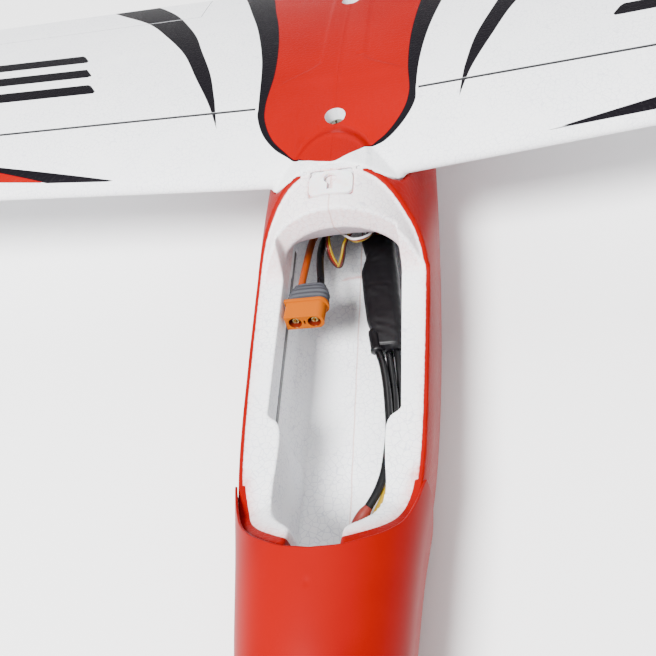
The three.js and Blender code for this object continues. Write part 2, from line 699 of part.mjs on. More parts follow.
const LATCH = { half: 9.7, y0: -49.6, y1: -36.4, deep: 1.6 };
const LONGERON = { x: 27.05, z: -46, tall: 3, wide: 1.2, y0: -143, y1: -40 };

function addFuselage() {
  const outer = skin(NOSE_FOAM, FUSELAGE_END);
  const plateRoom = box(-14.4, 14.4, -14.4, 126.4, PLATE_TOP - PLATE_DEEP - 0.4, 0);
  const shankRoom = SCREWS.map(({ y }) => rod([0, y, -60], [0, y, 0], SCREW.shank + 0.8, 12));
  const stabSlot = box(-30, 30, STAB.le - 4, STAB.hinge + 0.4, STAB.z - STAB.thick / 2 - GAP,
    STAB.z + STAB.thick / 2 + GAP);
  const joinerSlot = box(-30, 30, STAB.hinge, STAB.hinge + 9, STAB.z - 4.2, STAB.z + 4.2);
  const elevatorWell = mirrored(servoRoom(ELEVATOR_ROD, elevatorFrame, SERVO.deep / 2 + 0.5));
  const rudderWell = servoRoom(RUDDER_ROD, rudderFrame, SERVO.deep / 2 + 0.5);
  const seatHalf = LATCH.half + GAP;
  const plateSeat = cut(box(-seatHalf, seatHalf, LATCH.y0 - GAP, LATCH.y1 + GAP, -12, ABOVE),
    skin(-70, -20, -LIP_DEPTH - LATCH.deep - 2 * GAP));
  const { tall, wide, y0, y1 } = LONGERON;
  const grooves = [-1, 1].map((s) => {
    const xs = [s * (LONGERON.x + wide + 0.3), s * 20].sort((a, b) => a - b);
    return box(xs[0], xs[1], y0 - 0.4, y1 + 0.4, LONGERON.z - tall / 2 - 0.3, LONGERON.z + tall / 2 + 0.3);
  });
  const body = cut(outer, seatCutter(), bayCutter(), tunnelCutter(), motorRoom(), saddleCutter(),
    plateRoom, ...shankRoom, stabSlot, joinerSlot, elevatorWell, rudderWell, plateSeat, ...grooves);
  add('fuselage_left', common(body, box(SEAM, 60, -400, 700, -100, 60)), 'foam');
  add('fuselage_right', common(body, box(-60, -SEAM, -400, 700, -100, 60)), 'foam');
  for (const [name, s] of [['longeron_left', 1], ['longeron_right', -1]]) {
    const xs = [s * LONGERON.x, s * (LONGERON.x + wide)].sort((a, b) => a - b);
    add(name, box(xs[0], xs[1], y0, y1, LONGERON.z - tall / 2, LONGERON.z + tall / 2), 'carbon');
  }
  const latch = common(box(-LATCH.half, LATCH.half, LATCH.y0, LATCH.y1, -12, ABOVE),
    cut(skin(-70, -20, -LIP_DEPTH - 0.1), skin(-71, -19, -LIP_DEPTH - LATCH.deep)));
  const keyhole = join(rod([0, -40.8, -12], [0, -40.8, 6], 3, 12), box(-1.4, 1.4, -47.2, -40, -12, 6));
  add('latch_plate', cut(latch, keyhole), 'whitePlastic');
}

// Thin moulded shell over the foam nose, cut back round the canopy opening.
const SHELL = 1.3;
const COWL_EDGE = [[0, -202.8], [10, -201.5], [17, -198.8], [24, -194.8], [29.5, -189.3],
  [33.2, -181.4], [35.2, -175], [36.4, -169.6]];

function addCowl() {
  const shell = cut(skin(-293, -160, SHELL), skin(-291.6, -150, GAP));
  const right = COWL_EDGE;
  const left = COWL_EDGE.slice(1).map(([x, y]) => [-x, y]).reverse();
  const overTop = alongZ([...left, ...right, [60, -169.6], [60, -140], [-60, -140], [-60, -169.6]],
    RAIL_Z, ABOVE);
  const under = [[-169.6, RAIL_Z + 0.1], [-199, -95], [-140, -95], [-140, RAIL_Z + 0.1]];
  const belowRail = alongX(under, -60, 60);
  const shaftHole = rod([0, -300, THRUST_Z], [0, -285, THRUST_Z], 12, 20);
  add('nose_cowl', cut(shell, overTop, belowRail, shaftHole), 'red');
}

// The hatch fills the seat, with thin lips over the rims, and is hollow inside.
const HATCH_WALL = 4.5;

function hatchSolid() {
  const filled = common(skin(-203, -33), seatCutter().translate([0, -0.3, 0.8]));
  const hollow = common(skin(-190, -64, -HATCH_WALL), box(-60, 60, -190, -64, -60, ABOVE));
  const ends = box(-60, 60, -201.4, -35, -60, 60);
  return cut(common(filled, ends), hollow);
}

function windowSolid() {
  const shell = cut(skin(-180, -60, SHELL), skin(-181, -59, GAP));
  const oval = new THREE.CylinderGeometry(1, 1, 100, 20).rotateX(Math.PI / 2).scale(24, 48, 1);
  return common(shell, toSolid(oval.translate(0, -112, 0)).intersect(box(-60, 60, -200, -40, -30, 60)));
}

// Off the aircraft, the hatch lies on its back beside the nose.
const HATCH_PIVOT = { x: 105, z: (BELLY + 2.9) / 2 };

function addHatch() {
  const swing = new THREE.Matrix4().makeTranslation(HATCH_PIVOT.x, 0, HATCH_PIVOT.z)
    .multiply(new THREE.Matrix4().makeRotationY(Math.PI))
    .multiply(new THREE.Matrix4().makeTranslation(-HATCH_PIVOT.x, 0, -HATCH_PIVOT.z));
  add('canopy_hatch', placed(hatchSolid(), swing), 'red');
  add('canopy_window', placed(windowSolid(), swing), 'black');
}

// ---------------------------------------------------------------- power train

const MOTOR_REAR = -245;
const SPINNER_REAR = -297.6;
const BLADE = { pivot: 15, y: -306, knuckle: 3.6, half: 2.6, hole: 1.8 };
// [reach from the pivot, half chord, half thickness, pitch in radians, offset towards the nose].
// The offset lets the folded blade lie outside the cowl.
const BLADE_SECTIONS = [
  [0.5, 2.5, 2.3, 0, 0], [5, 2.5, 2.3, 0, 0.8], [9, 2.9, 2.3, 0.25, 3], [13, 4.6, 2.1, 0.5, 5],
  [22, 8.4, 1.8, 0.46, 6.2], [48, 10.5, 1.4, 0.36, 6.4], [82, 8.4, 1, 0.24, 6],
  [104, 5.4, 0.8, 0.18, 5.4], [112, 2.4, 0.6, 0.15, 5],
];

function bladeSolid() {
  const blade = loft(BLADE_SECTIONS.map(([reach, chord, thick, pitch, ahead]) => {
    const turn = Math.PI / 2 - pitch;
    return around(10).map((a) => {
      const u = chord * Math.cos(a);
      const w = thick * Math.sin(a);
      return new THREE.Vector3(BLADE.pivot + reach,
        BLADE.y - ahead + u * Math.cos(turn) - w * Math.sin(turn),
        THRUST_Z + u * Math.sin(turn) + w * Math.cos(turn));
    });
  }));
  const post = (reach, radius, sides) => rod([BLADE.pivot, BLADE.y, THRUST_Z - reach],
    [BLADE.pivot, BLADE.y, THRUST_Z + reach], radius, sides);
  return cut(join(blade, post(BLADE.half, BLADE.knuckle, 12)), post(9, BLADE.hole, 10));
}

function addPower() {
  const plate = turned(
    [[3.5, -288.4], [19, -288.4], [19, -285.4], [3.5, -285.4], [3.5, -288.4]], THRUST_Z, 20);
  add('motor_plate', plate, 'alloy');
  const can = [[0, MOTOR_REAR], [12, MOTOR_REAR], [13.8, MOTOR_REAR - 2], [13.8, -283], [12.5, -285],
    [2.4, -285], [2.4, -252], [0, -252]];
  add('motor_can', turned(can, THRUST_Z, 20), 'alloy');
  add('motor_shaft', rod([0, -313, THRUST_Z], [0, -252.4, THRUST_Z], 2, 10), 'steel');
  const back = turned(
    [[2.8, -297], [20.2, -297], [20.2, -295], [2.8, -295], [2.8, -297]], THRUST_Z, 20);
  const block = cut(box(-17.6, 17.6, -308.6, -296, THRUST_Z - 7, THRUST_Z + 7),
    box(-20, -10.8, -312, -297.4, THRUST_Z - 3, THRUST_Z + 3),
    box(10.8, 20, -312, -297.4, THRUST_Z - 3, THRUST_Z + 3),
    rod([0, -320, THRUST_Z], [0, -290, THRUST_Z], 2.8, 20));
  const pinHole = (s) => rod([s * BLADE.pivot, BLADE.y, THRUST_Z - 12],
    [s * BLADE.pivot, BLADE.y, THRUST_Z + 12], 1.75, 8);
  const notches = [box(10.8, 24, -300, -290, THRUST_Z - 3, THRUST_Z + 3),
    box(-24, -10.8, -300, -290, THRUST_Z - 3, THRUST_Z + 3)];
  add('propeller_hub', cut(join(back, block), pinHole(1), pinHole(-1), ...notches), 'black');
  const blade = bladeSolid();
  add('propeller_blade_left', blade, 'black');
  add('propeller_blade_right', placed(blade, new THREE.Matrix4().makeTranslation(0, 0, THRUST_Z)
    .multiply(new THREE.Matrix4().makeRotationY(Math.PI))
    .multiply(new THREE.Matrix4().makeTranslation(0, 0, -THRUST_Z))), 'black');
  for (const [name, s] of [['blade_pin_left', 1], ['blade_pin_right', -1]]) {
    add(name, rod([s * BLADE.pivot, BLADE.y, THRUST_Z - 8],
      [s * BLADE.pivot, BLADE.y, THRUST_Z + 8], 1.4, 8), 'steel');
  }
  const dome = (radius, tip) => range(0, 1, 6).map((t) => [
    radius * Math.sqrt(1 - t ** 1.7), SPINNER_REAR + t * (tip - SPINNER_REAR)]);
  const outline = [...dome(18.8, SPINNER_TIP + 2.5).reverse(), ...dome(20.8, SPINNER_TIP)];
  const slots = box(-30, 30, -314, -290, THRUST_Z - 8.4, THRUST_Z + 8.4);
  add('spinner', cut(turned(outline, THRUST_Z, 20), slots), 'red');
}

// ---------------------------------------------------------------- electrics in the bay

// The speed controller in its heat-shrink sleeve: [y, middle x, half width, half height],
// with a waist behind its capacitor end and a narrow tail for the motor leads.
const CONTROLLER = [
  [-24, 10.3, 8.4, 6], [-30, 11.2, 8, 7], [-36.5, 12.6, 7.6, 7.2], [-46, 12.2, 9.6, 7.5],
  [-60, 13.4, 9.3, 7.5], [-75, 15, 8.8, 7.2], [-81.5, 16.4, 7.6, 6.8], [-91, 17, 6.8, 6.2],
];
const CONTROLLER_Z = -62.6;

// Bends a sine or cosine so that it draws a rounded rectangle instead of a circle.
const square = (v) => Math.sign(v) * Math.abs(v) ** 0.6;

function controllerSolid() {
  return loft(CONTROLLER.map(([y, x, wide, tall]) =>
    around(12).map((a) => new THREE.Vector3(
      x + wide * square(Math.cos(a)), y, CONTROLLER_Z + tall * square(Math.sin(a))))), 'point');
}

const WIRE_SIDES = 8;

function wire(points, radius) {
  const curve = new THREE.CatmullRomCurve3(
    points.map((p) => new THREE.Vector3(...p)), false, 'centripetal');
  const ring = around(WIRE_SIDES).map(
    (a) => new THREE.Vector2(radius * Math.cos(a), radius * Math.sin(a)));
  const steps = Math.round(curve.getLength() / (radius * 5));
  return toSolid(new THREE.ExtrudeGeometry(new THREE.Shape(ring), {
    steps, bevelEnabled: false, extrudePath: curve,
  }));
}

// The battery connector hangs over the left ledge, nose slightly up.
const CONNECTOR = { at: [-16.2, -81.3, -38.2], pitch: -7.9, roll: -2, yaw: -1.1 };
const connectorFrame = new THREE.Matrix4().makeRotationFromEuler(new THREE.Euler(
  THREE.MathUtils.degToRad(CONNECTOR.pitch), THREE.MathUtils.degToRad(CONNECTOR.roll),
  THREE.MathUtils.degToRad(CONNECTOR.yaw), 'ZYX')).setPosition(...CONNECTOR.at);

function addElectrics() {
  const shape = cut(
    join(box(-8.8, 8.8, -9.3, 0, -3.8, 3.8), box(-9.9, 9.9, -0.01, 1.6, -4.7, 4.7)),
    rod([-4.65, -10, 0], [-4.65, -4, 0], 2.6, 12), rod([4.65, -10, 0], [4.65, -4, 0], 2.6, 12));
  add('battery_connector', placed(shape, connectorFrame), 'orange');
  const boot = loft([[1.95, 9.4, 4.5], [8.6, 9, 4.3], [12.8, 7.2, 3.4]].map(([y, w, h]) =>
    around(12).map((a) => new THREE.Vector3(w * square(Math.cos(a)), y, h * square(Math.sin(a))))));
  add('connector_boot', placed(boot, connectorFrame), 'grey');

  add('speed_controller', controllerSolid(), 'black');
  add('receiver', box(-14, 14, 12, 52, -60, -46), 'charcoal');

  for (const [name, route] of Object.entries(ROUTES)) {
    add(name, wire(route.points, route.radius), route.finish);
  }
}

// Centre lines of the wires that lie free in the bay, from the speed controller or the
// roof of the tunnel to what they plug into.
const ROUTES = {
  battery_lead_positive: {
    radius: 1.75, finish: 'orangeWire',
    points: [[-20.6, -68.2, -40.3], [-20.5, -64, -40.8], [-20.1, -53, -42.6], [-19.8, -42, -44.8],
      [-19.4, -32, -47.8], [-17.2, -21, -52], [-12.8, -11, -56], [-5.6, -3.6, -59.4],
      [2.6, -2.6, -61.4], [9.6, -6.6, -62.4], [13.4, -14, -62.6], [14, -23.6, -62.6]],
  },
  battery_lead_negative: {
    radius: 1.75, finish: 'black',
    points: [[-11.4, -68.3, -40], [-11.7, -64, -40.5], [-13.2, -53, -42.2], [-13.9, -42, -44.6],
      [-13.4, -32, -48], [-11.2, -23, -52.8], [-6.8, -15.6, -57], [-1.4, -12, -60.2],
      [3.4, -12.8, -62], [6.2, -17.6, -62.6], [6.6, -23.6, -62.6]],
  },
  throttle_lead: {
    radius: 1.1, finish: 'leads',
    points: [
      [10.4, -23.3, -58.6], [10.3, -19, -57], [9.2, -16, -52.6], [7, -18.4, -48.6], [4.8, -24, -45.6],
      [1, -34, -42.2], [-1.8, -42.4, -41.6], [-3.6, -46.2, -46.6], [-6.4, -47, -52],
      [-8.8, -46, -47.2], [-10, -42.2, -42], [-10.4, -33, -41.6], [-10, -20, -44.6],
      [-8, -6, -49], [-5, 4, -52], [-4, 11.6, -53]],
  },
  aileron_lead: {
    radius: 1.1, finish: 'leads',
    points: [[12.4, -32.4, -37.8], [12.2, -36.4, -38.8], [11, -41, -38], [8.6, -45.4, -35.6],
      [4.8, -46.8, -34.8], [1.4, -43.8, -36.2], [-2.8, -37, -38.4], [-5, -26, -39.6],
      [-4, -12, -42.4], [-0.6, 0, -46.4], [2, 11.6, -49]],
  },
  motor_lead_a: {
    radius: 1.7, finish: 'black',
    points: [[12.2, -91.5, -61.8], [14.2, -98, -61.7], [16, -108, -61.5], [17.2, -120, -61.4],
      [17.8, -132, -61.8], [17, -143, -62.3], [15.6, -152, -63], [12.8, -159.5, -64], [9.2, -165.5, -65],
      [5, -171.5, -66], [3.4, -180, -64.4], [4, -190, -58.6], [5, -205, -51.6],
      [5.7, -226, -47.4], [5.6, -244.6, -46.6]],
  },
  motor_lead_b: {
    radius: 1.7, finish: 'black',
    points: [[16.8, -91.5, -63.2], [18, -101, -63.8], [19.2, -112, -64.6], [19.6, -122, -65.2],
      [19.6, -134, -65.6],
      [18.6, -145, -66], [17.8, -154, -66.4], [15.8, -161.5, -66.8], [13.2, -167.5, -67.2],
      [10.5, -175, -67.4], [8, -186, -67], [3, -200, -64], [-2, -215, -58], [-5, -230, -51],
      [-5.6, -244.6, -47]],
  },
  motor_lead_c: {
    radius: 1.7, finish: 'black',
    points: [[21, -91.5, -62.4], [21.6, -99, -63.8], [22, -108, -66.4], [21.4, -117, -68.8],
      [20.6, -126, -69.7], [19.4, -134, -69.9], [18.6, -146, -70.1], [18.6, -158, -70.4],
      [17, -170, -70.3], [12.4, -184, -69], [8.2, -198, -65.2], [3.2, -212, -60.4],
      [0.6, -230, -57.4], [0, -244.6, -56.8]],
  },
};

const parts = { addWing, addTail, addFuselage, addCowl, addHatch, addPower, addElectrics };
for (const make of Object.values(parts)) make();

const glider = new THREE.Group();
glider.add(datum);

export default glider;
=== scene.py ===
"""An electric-powered foam glider with its canopy hatch off, standing on its belly.

Sizes are in the CAD's working frame: millimetres, with the origin on the upper surface of the
wing at its front screw. frame_point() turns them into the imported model's frame, in metres.
"""

import math

import bmesh
import bpy
import numpy as np
from mathutils import Matrix, Vector


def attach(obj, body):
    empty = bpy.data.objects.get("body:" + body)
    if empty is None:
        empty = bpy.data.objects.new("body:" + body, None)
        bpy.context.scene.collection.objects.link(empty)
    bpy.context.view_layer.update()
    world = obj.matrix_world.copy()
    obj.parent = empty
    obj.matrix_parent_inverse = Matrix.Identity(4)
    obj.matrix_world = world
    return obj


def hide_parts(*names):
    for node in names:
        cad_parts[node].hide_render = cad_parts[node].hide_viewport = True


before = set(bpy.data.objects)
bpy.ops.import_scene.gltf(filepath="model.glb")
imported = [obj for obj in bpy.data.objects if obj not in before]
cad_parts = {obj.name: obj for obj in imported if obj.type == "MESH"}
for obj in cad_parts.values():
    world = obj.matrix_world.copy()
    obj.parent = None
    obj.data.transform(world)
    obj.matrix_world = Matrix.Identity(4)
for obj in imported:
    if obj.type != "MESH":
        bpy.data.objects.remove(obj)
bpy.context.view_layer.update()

# ------------------------ dimensions, as in the CAD

DATUM = np.array([0.0, -150.0, 90.0])
BELLY, SPINNER_TIP, TAIL_END = -90.0, -345.0, 645.0
GAP = 0.35
# Rows of y, half width, top, widest height and bottom of the fuselage's skin.
STATIONS = np.array([
    [-296, 19.6, -26.5, -47, -69.5], [-262, 25, -19.5, -43.5, -79],
    [-232, 28.8, -14, -40.5, -85.5], [-200, 32.4, -11.7, -40, -88], [-160, 38.2, -7.5, -44, -92],
    [-110, 41, -2, -49, -94], [-60, 41.9, 1.6, -50, -94], [-33, 41.9, 2.6, -50, -94],
    [0, 41.6, -1, -50, -93.5], [40, 40.2, -9, -50, -92], [100, 34, -15, -49, -87],
    [150, 28, -18, -47, -80], [220, 22, -21, -44, -69], [320, 16.5, -24, -40, -58.5],
    [450, 12.5, -26, -37.5, -50], [592, 9, -27, -35.5, -45]], float)
NOSE_FOAM, FUSELAGE_END = -284.0, 590.0
RAIL_Z, BAY_FLOOR, THRUST_Z = -32.0, -74.0, -48.0
ROOT_LE, SWEEP_LE, ROOT_TE, SWEEP_TE = -32.7, 0.049, 151.4, -0.045
ROOT_Z, DIHEDRAL, INCIDENCE = -12.2, 0.053, 0.0663
CAMBER, CAMBER_AT, THICKNESS, HALF_SPAN = 0.028, 0.4, 0.12, 700.0
# Thickness of the trailing edge: the CAD's, and that of the softer foam moulding.
EDGE, EDGE_SOFT = 1.2, 1.8
AILERON_IN, AILERON_OUT, AILERON_CHORD = 88.0, 640.0, 30.0
# A height clear of everything, for the open tops of cutters.
ABOVE = 40.0
LIP_DEPTH = 2.6
# Each wing screw's y, and the height of the wing's skin there.
SCREWS = {"wing_screw_front": (0.0, 0.0), "wing_screw_rear": (113.8, -13.4)}


def frame_point(p):
    return (np.asarray(p, float) + DATUM) / 1000.0


def smoothstep(a, b, v):
    """0 below a and 1 above b, with a smooth rise between them."""
    t = np.clip((np.asarray(v, float) - a) / (b - a), 0, 1)
    return t * t * (3 - 2 * t)


# ------------------------ shape functions

def station_at(y):
    """Half width, top, widest height and bottom of the skin at y, for an array of y."""
    y = np.atleast_1d(np.asarray(y, float))
    ys = STATIONS[:, 0]
    last = len(ys) - 1
    i = np.clip(np.searchsorted(ys, y, side="right") - 1, 0, last - 1)
    low, high = np.maximum(i - 1, 0), np.minimum(i + 2, last)
    h = (ys[i + 1] - ys[i])[:, None]
    t = np.clip((y - ys[i]) / h[:, 0], 0, 1)[:, None]
    p, q = STATIONS[i, 1:], STATIONS[i + 1, 1:]
    slope_p = (STATIONS[i + 1, 1:] - STATIONS[low, 1:]) / (ys[i + 1] - ys[low])[:, None]
    slope_q = (STATIONS[high, 1:] - STATIONS[i, 1:]) / (ys[high] - ys[i])[:, None]
    ease = t * t * (3 - 2 * t)
    bend = (1 - t) ** 2 * t * h * slope_p - (1 - t) * t * t * h * slope_q
    return (p + (q - p) * ease + bend).T


def rounded_section(angles):
    """Across and up shares of the skin's section, squarer below than above."""
    c, s = np.cos(angles), np.sin(angles)
    power = np.where(s < 0, 0.8, 1.0)
    return np.sign(c) * np.abs(c) ** power, np.sign(s) * np.abs(s) ** power


def skin_points(ys, angles, grow=0.0):
    """Grid [len(ys), len(angles), 3] on the fuselage skin."""
    width, top, mid, bottom = station_at(ys)
    cx, sz = rounded_section(angles)
    height = np.where(np.sin(angles) > 0, (top - mid)[:, None], (mid - bottom)[:, None]) + grow
    x = cx * (width + grow)[:, None]
    z = np.maximum(mid[:, None] + sz * height, BELLY - grow)
    y = np.repeat(np.atleast_1d(ys)[:, None], len(angles), axis=1)
    return np.stack([x, y, z], axis=-1)


def skin_depth(p):
    """How far inside the skin each point is, roughly, in millimetres."""
    width, top, mid, bottom = station_at(p[:, 1])
    dz = p[:, 2] - mid
    up = dz > 0
    height = np.where(up, top - mid, mid - bottom)
    power = np.where(up, 2.0, 2.5)
    ax, az = np.abs(p[:, 0]) / width, np.abs(dz) / height
    r = (ax ** power + az ** power) ** (1 / power)
    reach = np.hypot(p[:, 0], dz)
    inside = (1 - r) * reach / np.maximum(r, 1e-6)
    return np.minimum(inside, p[:, 2] - BELLY)


def skin_top(x, y):
    """Height of the skin's upper half at x and y."""
    width, top, mid, _ = station_at(y)
    side = np.clip(np.abs(x) / width, 0, 1)
    return mid + (top - mid) * np.sqrt(1 - side * side)


def chord_le(x):
    return ROOT_LE + SWEEP_LE * np.abs(x)


def chord_te(x):
    return ROOT_TE + SWEEP_TE * np.abs(x)


def tip_shrink(x):
    """How much of its chord and thickness the wing keeps near its rounded tip."""
    t = np.clip((np.abs(x) - (HALF_SPAN - 30)) / 30, 0, 1)
    return np.sqrt(1 - 0.9 * t * t)


def wing_z(x, y, side, edge=EDGE):
    """Height of the wing surface at (x, y); side is +1 for the top, -1 for the bottom."""
    le = chord_le(x)
    chord = chord_te(x) - le
    s = np.clip((y - le) / chord, 0, 1)
    p = CAMBER_AT
    front = (CAMBER / p ** 2) * (2 * p * s - s * s)
    rear = (CAMBER / (1 - p) ** 2) * (1 - 2 * p + 2 * p * s - s * s)
    line = np.where(s < p, front, rear)
    half = 5 * THICKNESS * (0.2969 * np.sqrt(s) - 0.126 * s - 0.3516 * s ** 2
                            + 0.2843 * s ** 3 - 0.1015 * s ** 4)
    rim = edge / 2 * np.minimum(1, s * 4)
    plane = ROOT_Z + DIHEDRAL * np.abs(x) - INCIDENCE * (y - le)
    return plane + tip_shrink(x) * (chord * (line + side * half) + side * rim)


def spline(points, step=1.0):
    """Centripetal Catmull-Rom curve through 2-D or 3-D points, sampled about every step."""
    p = np.asarray(points, float)
    p = np.vstack([2 * p[0] - p[1], p, 2 * p[-1] - p[-2]])
    knots = np.maximum(np.linalg.norm(np.diff(p, axis=0), axis=1), 1e-9) ** 0.5
    out = []
    for i in range(1, len(p) - 2):
        p0, p1, p2, p3 = p[i - 1:i + 3]
        t0, t1, t2, t3 = np.cumsum([0.0, *knots[i - 1:i + 2]])
        count = max(2, int(round(np.linalg.norm(p2 - p1) / step)))
        t = np.linspace(t1, t2, count, endpoint=False)[:, None]
        a1 = (t1 - t) / (t1 - t0) * p0 + (t - t0) / (t1 - t0) * p1
        a2 = (t2 - t) / (t2 - t1) * p1 + (t - t1) / (t2 - t1) * p2
        a3 = (t3 - t) / (t3 - t2) * p2 + (t - t2) / (t3 - t2) * p3
        b1 = (t2 - t) / (t2 - t0) * a1 + (t - t0) / (t2 - t0) * a2
        b2 = (t3 - t) / (t3 - t1) * a2 + (t - t1) / (t3 - t1) * a3
        out.append((t2 - t) / (t2 - t1) * b1 + (t - t1) / (t2 - t1) * b2)
    return np.vstack(out + [p[-2][None]])


def edge_distance(p, a, b):
    """Distance from 2-D points to the straight line from a to b."""
    along = b - a
    off = p - a
    t = np.clip((off @ along) / (along @ along + 1e-12), 0, 1)
    return np.hypot(off[:, 0] - t * along[0], off[:, 1] - t * along[1])


def line_distance(p, line):
    """Distance from 2-D points to an open polyline."""
    best = np.full(len(p), np.inf)
    for a, b in zip(line[:-1], line[1:]):
        best = np.minimum(best, edge_distance(p, a, b))
    return best


def signed_distance(p, polygon):
    """Distance from 2-D points to a closed polygon, negative inside."""
    a = np.asarray(polygon, float)
    inside = np.zeros(len(p), bool)
    for (ax, ay), (bx, by) in zip(a, np.roll(a, -1, axis=0)):
        crosses = (ay > p[:, 1]) != (by > p[:, 1])
        inside ^= crosses & (p[:, 0] < ax + (p[:, 1] - ay) * (bx - ax) / ((by - ay) or 1e-12))
    away = line_distance(p, np.vstack([a, a[:1]]))
    return np.where(inside, -away, away)


# ------------------------ mesh helpers

def new_object(name, mesh):
    obj = bpy.data.objects.new(name, mesh)
    bpy.context.scene.collection.objects.link(obj)
    return obj


def mesh_object(name, points, faces, smooth=True):
    """An object from points in the working frame."""
    mesh = bpy.data.meshes.new(name)
    mesh.from_pydata(frame_point(np.asarray(points, float).reshape(-1, 3)).tolist(), [], faces)
    mesh.update()
    if smooth:
        mesh.shade_smooth()
    return new_object(name, mesh)


def grid_faces(rows, cols):
    """Quads between the rings of a grid, each ring closed on itself."""
    faces = []
    for i in range(rows - 1):
        for j in range(cols):
            k = (j + 1) % cols
            faces.append((i * cols + j, i * cols + k, (i + 1) * cols + k, (i + 1) * cols + j))
    return faces


def loft(name, rings, smooth=True, hollow=False):
    """A closed tube over rings [rows, cols, 3], or one whose last ring meets its first."""
    rings = np.asarray(rings, float)
    rows, cols = rings.shape[:2]
    faces = grid_faces(rows, cols)
    end = (rows - 1) * cols
    if hollow:
        faces += [(j, (j + 1) % cols, end + (j + 1) % cols, end + j) for j in range(cols)]
    else:
        faces += [tuple(reversed(range(cols))), tuple(end + j for j in range(cols))]
    obj = mesh_object(name, rings, faces, smooth)
    outward(obj)
    return obj


def outward(obj):
    """Turns a closed mesh's faces outwards."""
    bm = bmesh.new()
    bm.from_mesh(obj.data)
    bmesh.ops.recalc_face_normals(bm, faces=bm.faces)
    bm.to_mesh(obj.data)
    bm.free()


def box(name, x0, x1, y0, y1, z0, z1):
    return along_z(name, [(x0, y0), (x1, y0), (x1, y1), (x0, y1)], z0, z1)


def rod(name, a, b, radius, sides=48, ends=None):
    """A cylinder from a to b, or a turned body with (share of length, radius) rows."""
    a, b = np.asarray(a, float), np.asarray(b, float)
    along = (b - a) / np.linalg.norm(b - a)
    side = np.cross(along, [0, 0, 1.0] if abs(along[2]) < 0.9 else [1.0, 0, 0])
    side /= np.linalg.norm(side)
    up = np.cross(along, side)
    angles = np.linspace(0, 2 * math.pi, sides, endpoint=False)
    circle = np.cos(angles)[:, None] * side + np.sin(angles)[:, None] * up
    rows = ends or [(0.0, radius), (1.0, radius)]
    return loft(name, [a + (b - a) * t + circle * r for t, r in rows])


def along_x(name, polygon, x0, x1, slope=0.0):
    """A prism over (y, z) points, which rises by slope away from the middle."""
    rings = [[(x, y, z + slope * abs(x)) for y, z in polygon] for x in (x0, x1)]
    return loft(name, rings, smooth=False)


def along_z(name, polygon, z0, z1):
    return loft(name, [[(x, y, z) for x, y in polygon] for z in (z0, z1)], smooth=False)


def around(count):
    return np.linspace(0, 2 * math.pi, count, endpoint=False)


def skin(name, y0, y1, grow=0.0, step=4.0, sides=144):
    """The fuselage's outer shape between two places, grown or shrunk."""
    ys = np.linspace(y0, y1, max(3, int((y1 - y0) / step) + 1))
    return loft(name, skin_points(ys, around(sides), grow))


def apply(obj):
    """Bakes an object's modifiers into its mesh."""
    graph = bpy.context.evaluated_depsgraph_get()
    graph.update()
    mesh = bpy.data.meshes.new_from_object(obj.evaluated_get(graph))
    old = obj.data
    obj.modifiers.clear()
    obj.data = mesh
    bpy.data.meshes.remove(old)
    return obj


def boolean(obj, operation, tools):
    """Cuts an object by its tools, or joins them to it, and removes the tools."""
    for tool in tools:
        modifier = obj.modifiers.new("boolean", "BOOLEAN")
        modifier.operation = operation
        modifier.solver = "MANIFOLD"
        modifier.object = tool
    apply(obj)
    for tool in tools:
        bpy.data.objects.remove(tool, do_unlink=True)
    return obj


def cut(obj, *tools):
    return boolean(obj, "DIFFERENCE", tools)


def join(obj, *tools):
    return boolean(obj, "UNION", tools)


def common(obj, *tools):
    return boolean(obj, "INTERSECT", tools)


def soften(obj, voxel, rounds, factor=0.5):
    """Remeshes a solid evenly, and rounds its edges."""
    modifier = obj.modifiers.new("remesh", "REMESH")
    modifier.mode = "VOXEL"
    modifier.voxel_size = voxel / 1000
    smooth = obj.modifiers.new("smooth", "SMOOTH")
    smooth.factor = factor
    smooth.iterations = rounds
    apply(obj)
    obj.data.shade_smooth()
    return obj


def sharpen(obj, angle):
    """Smooth shading, with edges steeper than angle left sharp."""
    obj.data.shade_smooth()
    obj.data.set_sharp_from_angle(angle=math.radians(angle))
    return obj


def bevel(obj, width, segments=3, angle=30):
    """Rounds the edges steeper than angle."""
    modifier = obj.modifiers.new("bevel", "BEVEL")
    modifier.width = width / 1000
    modifier.segments = segments
    modifier.limit_method = "ANGLE"
    modifier.angle_limit = math.radians(angle)
    return sharpen(apply(obj), 40)


def vertex_data(obj, key):
    """A vector of each vertex, such as its place or its normal, as rows."""
    flat = np.empty(len(obj.data.vertices) * 3)
    obj.data.vertices.foreach_get(key, flat)
    return flat.reshape(-1, 3)


def points_of(obj):
    """The object's vertices in the working frame."""
    return vertex_data(obj, "co") * 1000 - DATUM


def set_points(obj, points):
    obj.data.vertices.foreach_set("co", frame_point(points).ravel())
    obj.data.update()
    return obj


def attribute(obj, name, values):
    layer = obj.data.attributes.new(name, "FLOAT", "POINT")
    layer.data.foreach_set("value", np.asarray(values, float))


def merge(name, objects):
    """One object from several, in their order."""
    bm = bmesh.new()
    for o in objects:
        bm.from_mesh(o.data)
    mesh = bpy.data.meshes.new(name)
    bm.to_mesh(mesh)
    bm.free()
    for o in objects:
        bpy.data.objects.remove(o, do_unlink=True)
    mesh.shade_smooth()
    return new_object(name, mesh)


def handed(obj, sign, name):
    """The object itself on the port side, and its mirror image on the starboard side."""
    if sign < 0:
        obj.data.vertices.foreach_set("co", (vertex_data(obj, "co") * [-1, 1, 1]).ravel())
        obj.data.flip_normals()
        obj.data.update()
    obj.name = name
    return obj


# ------------------------ materials

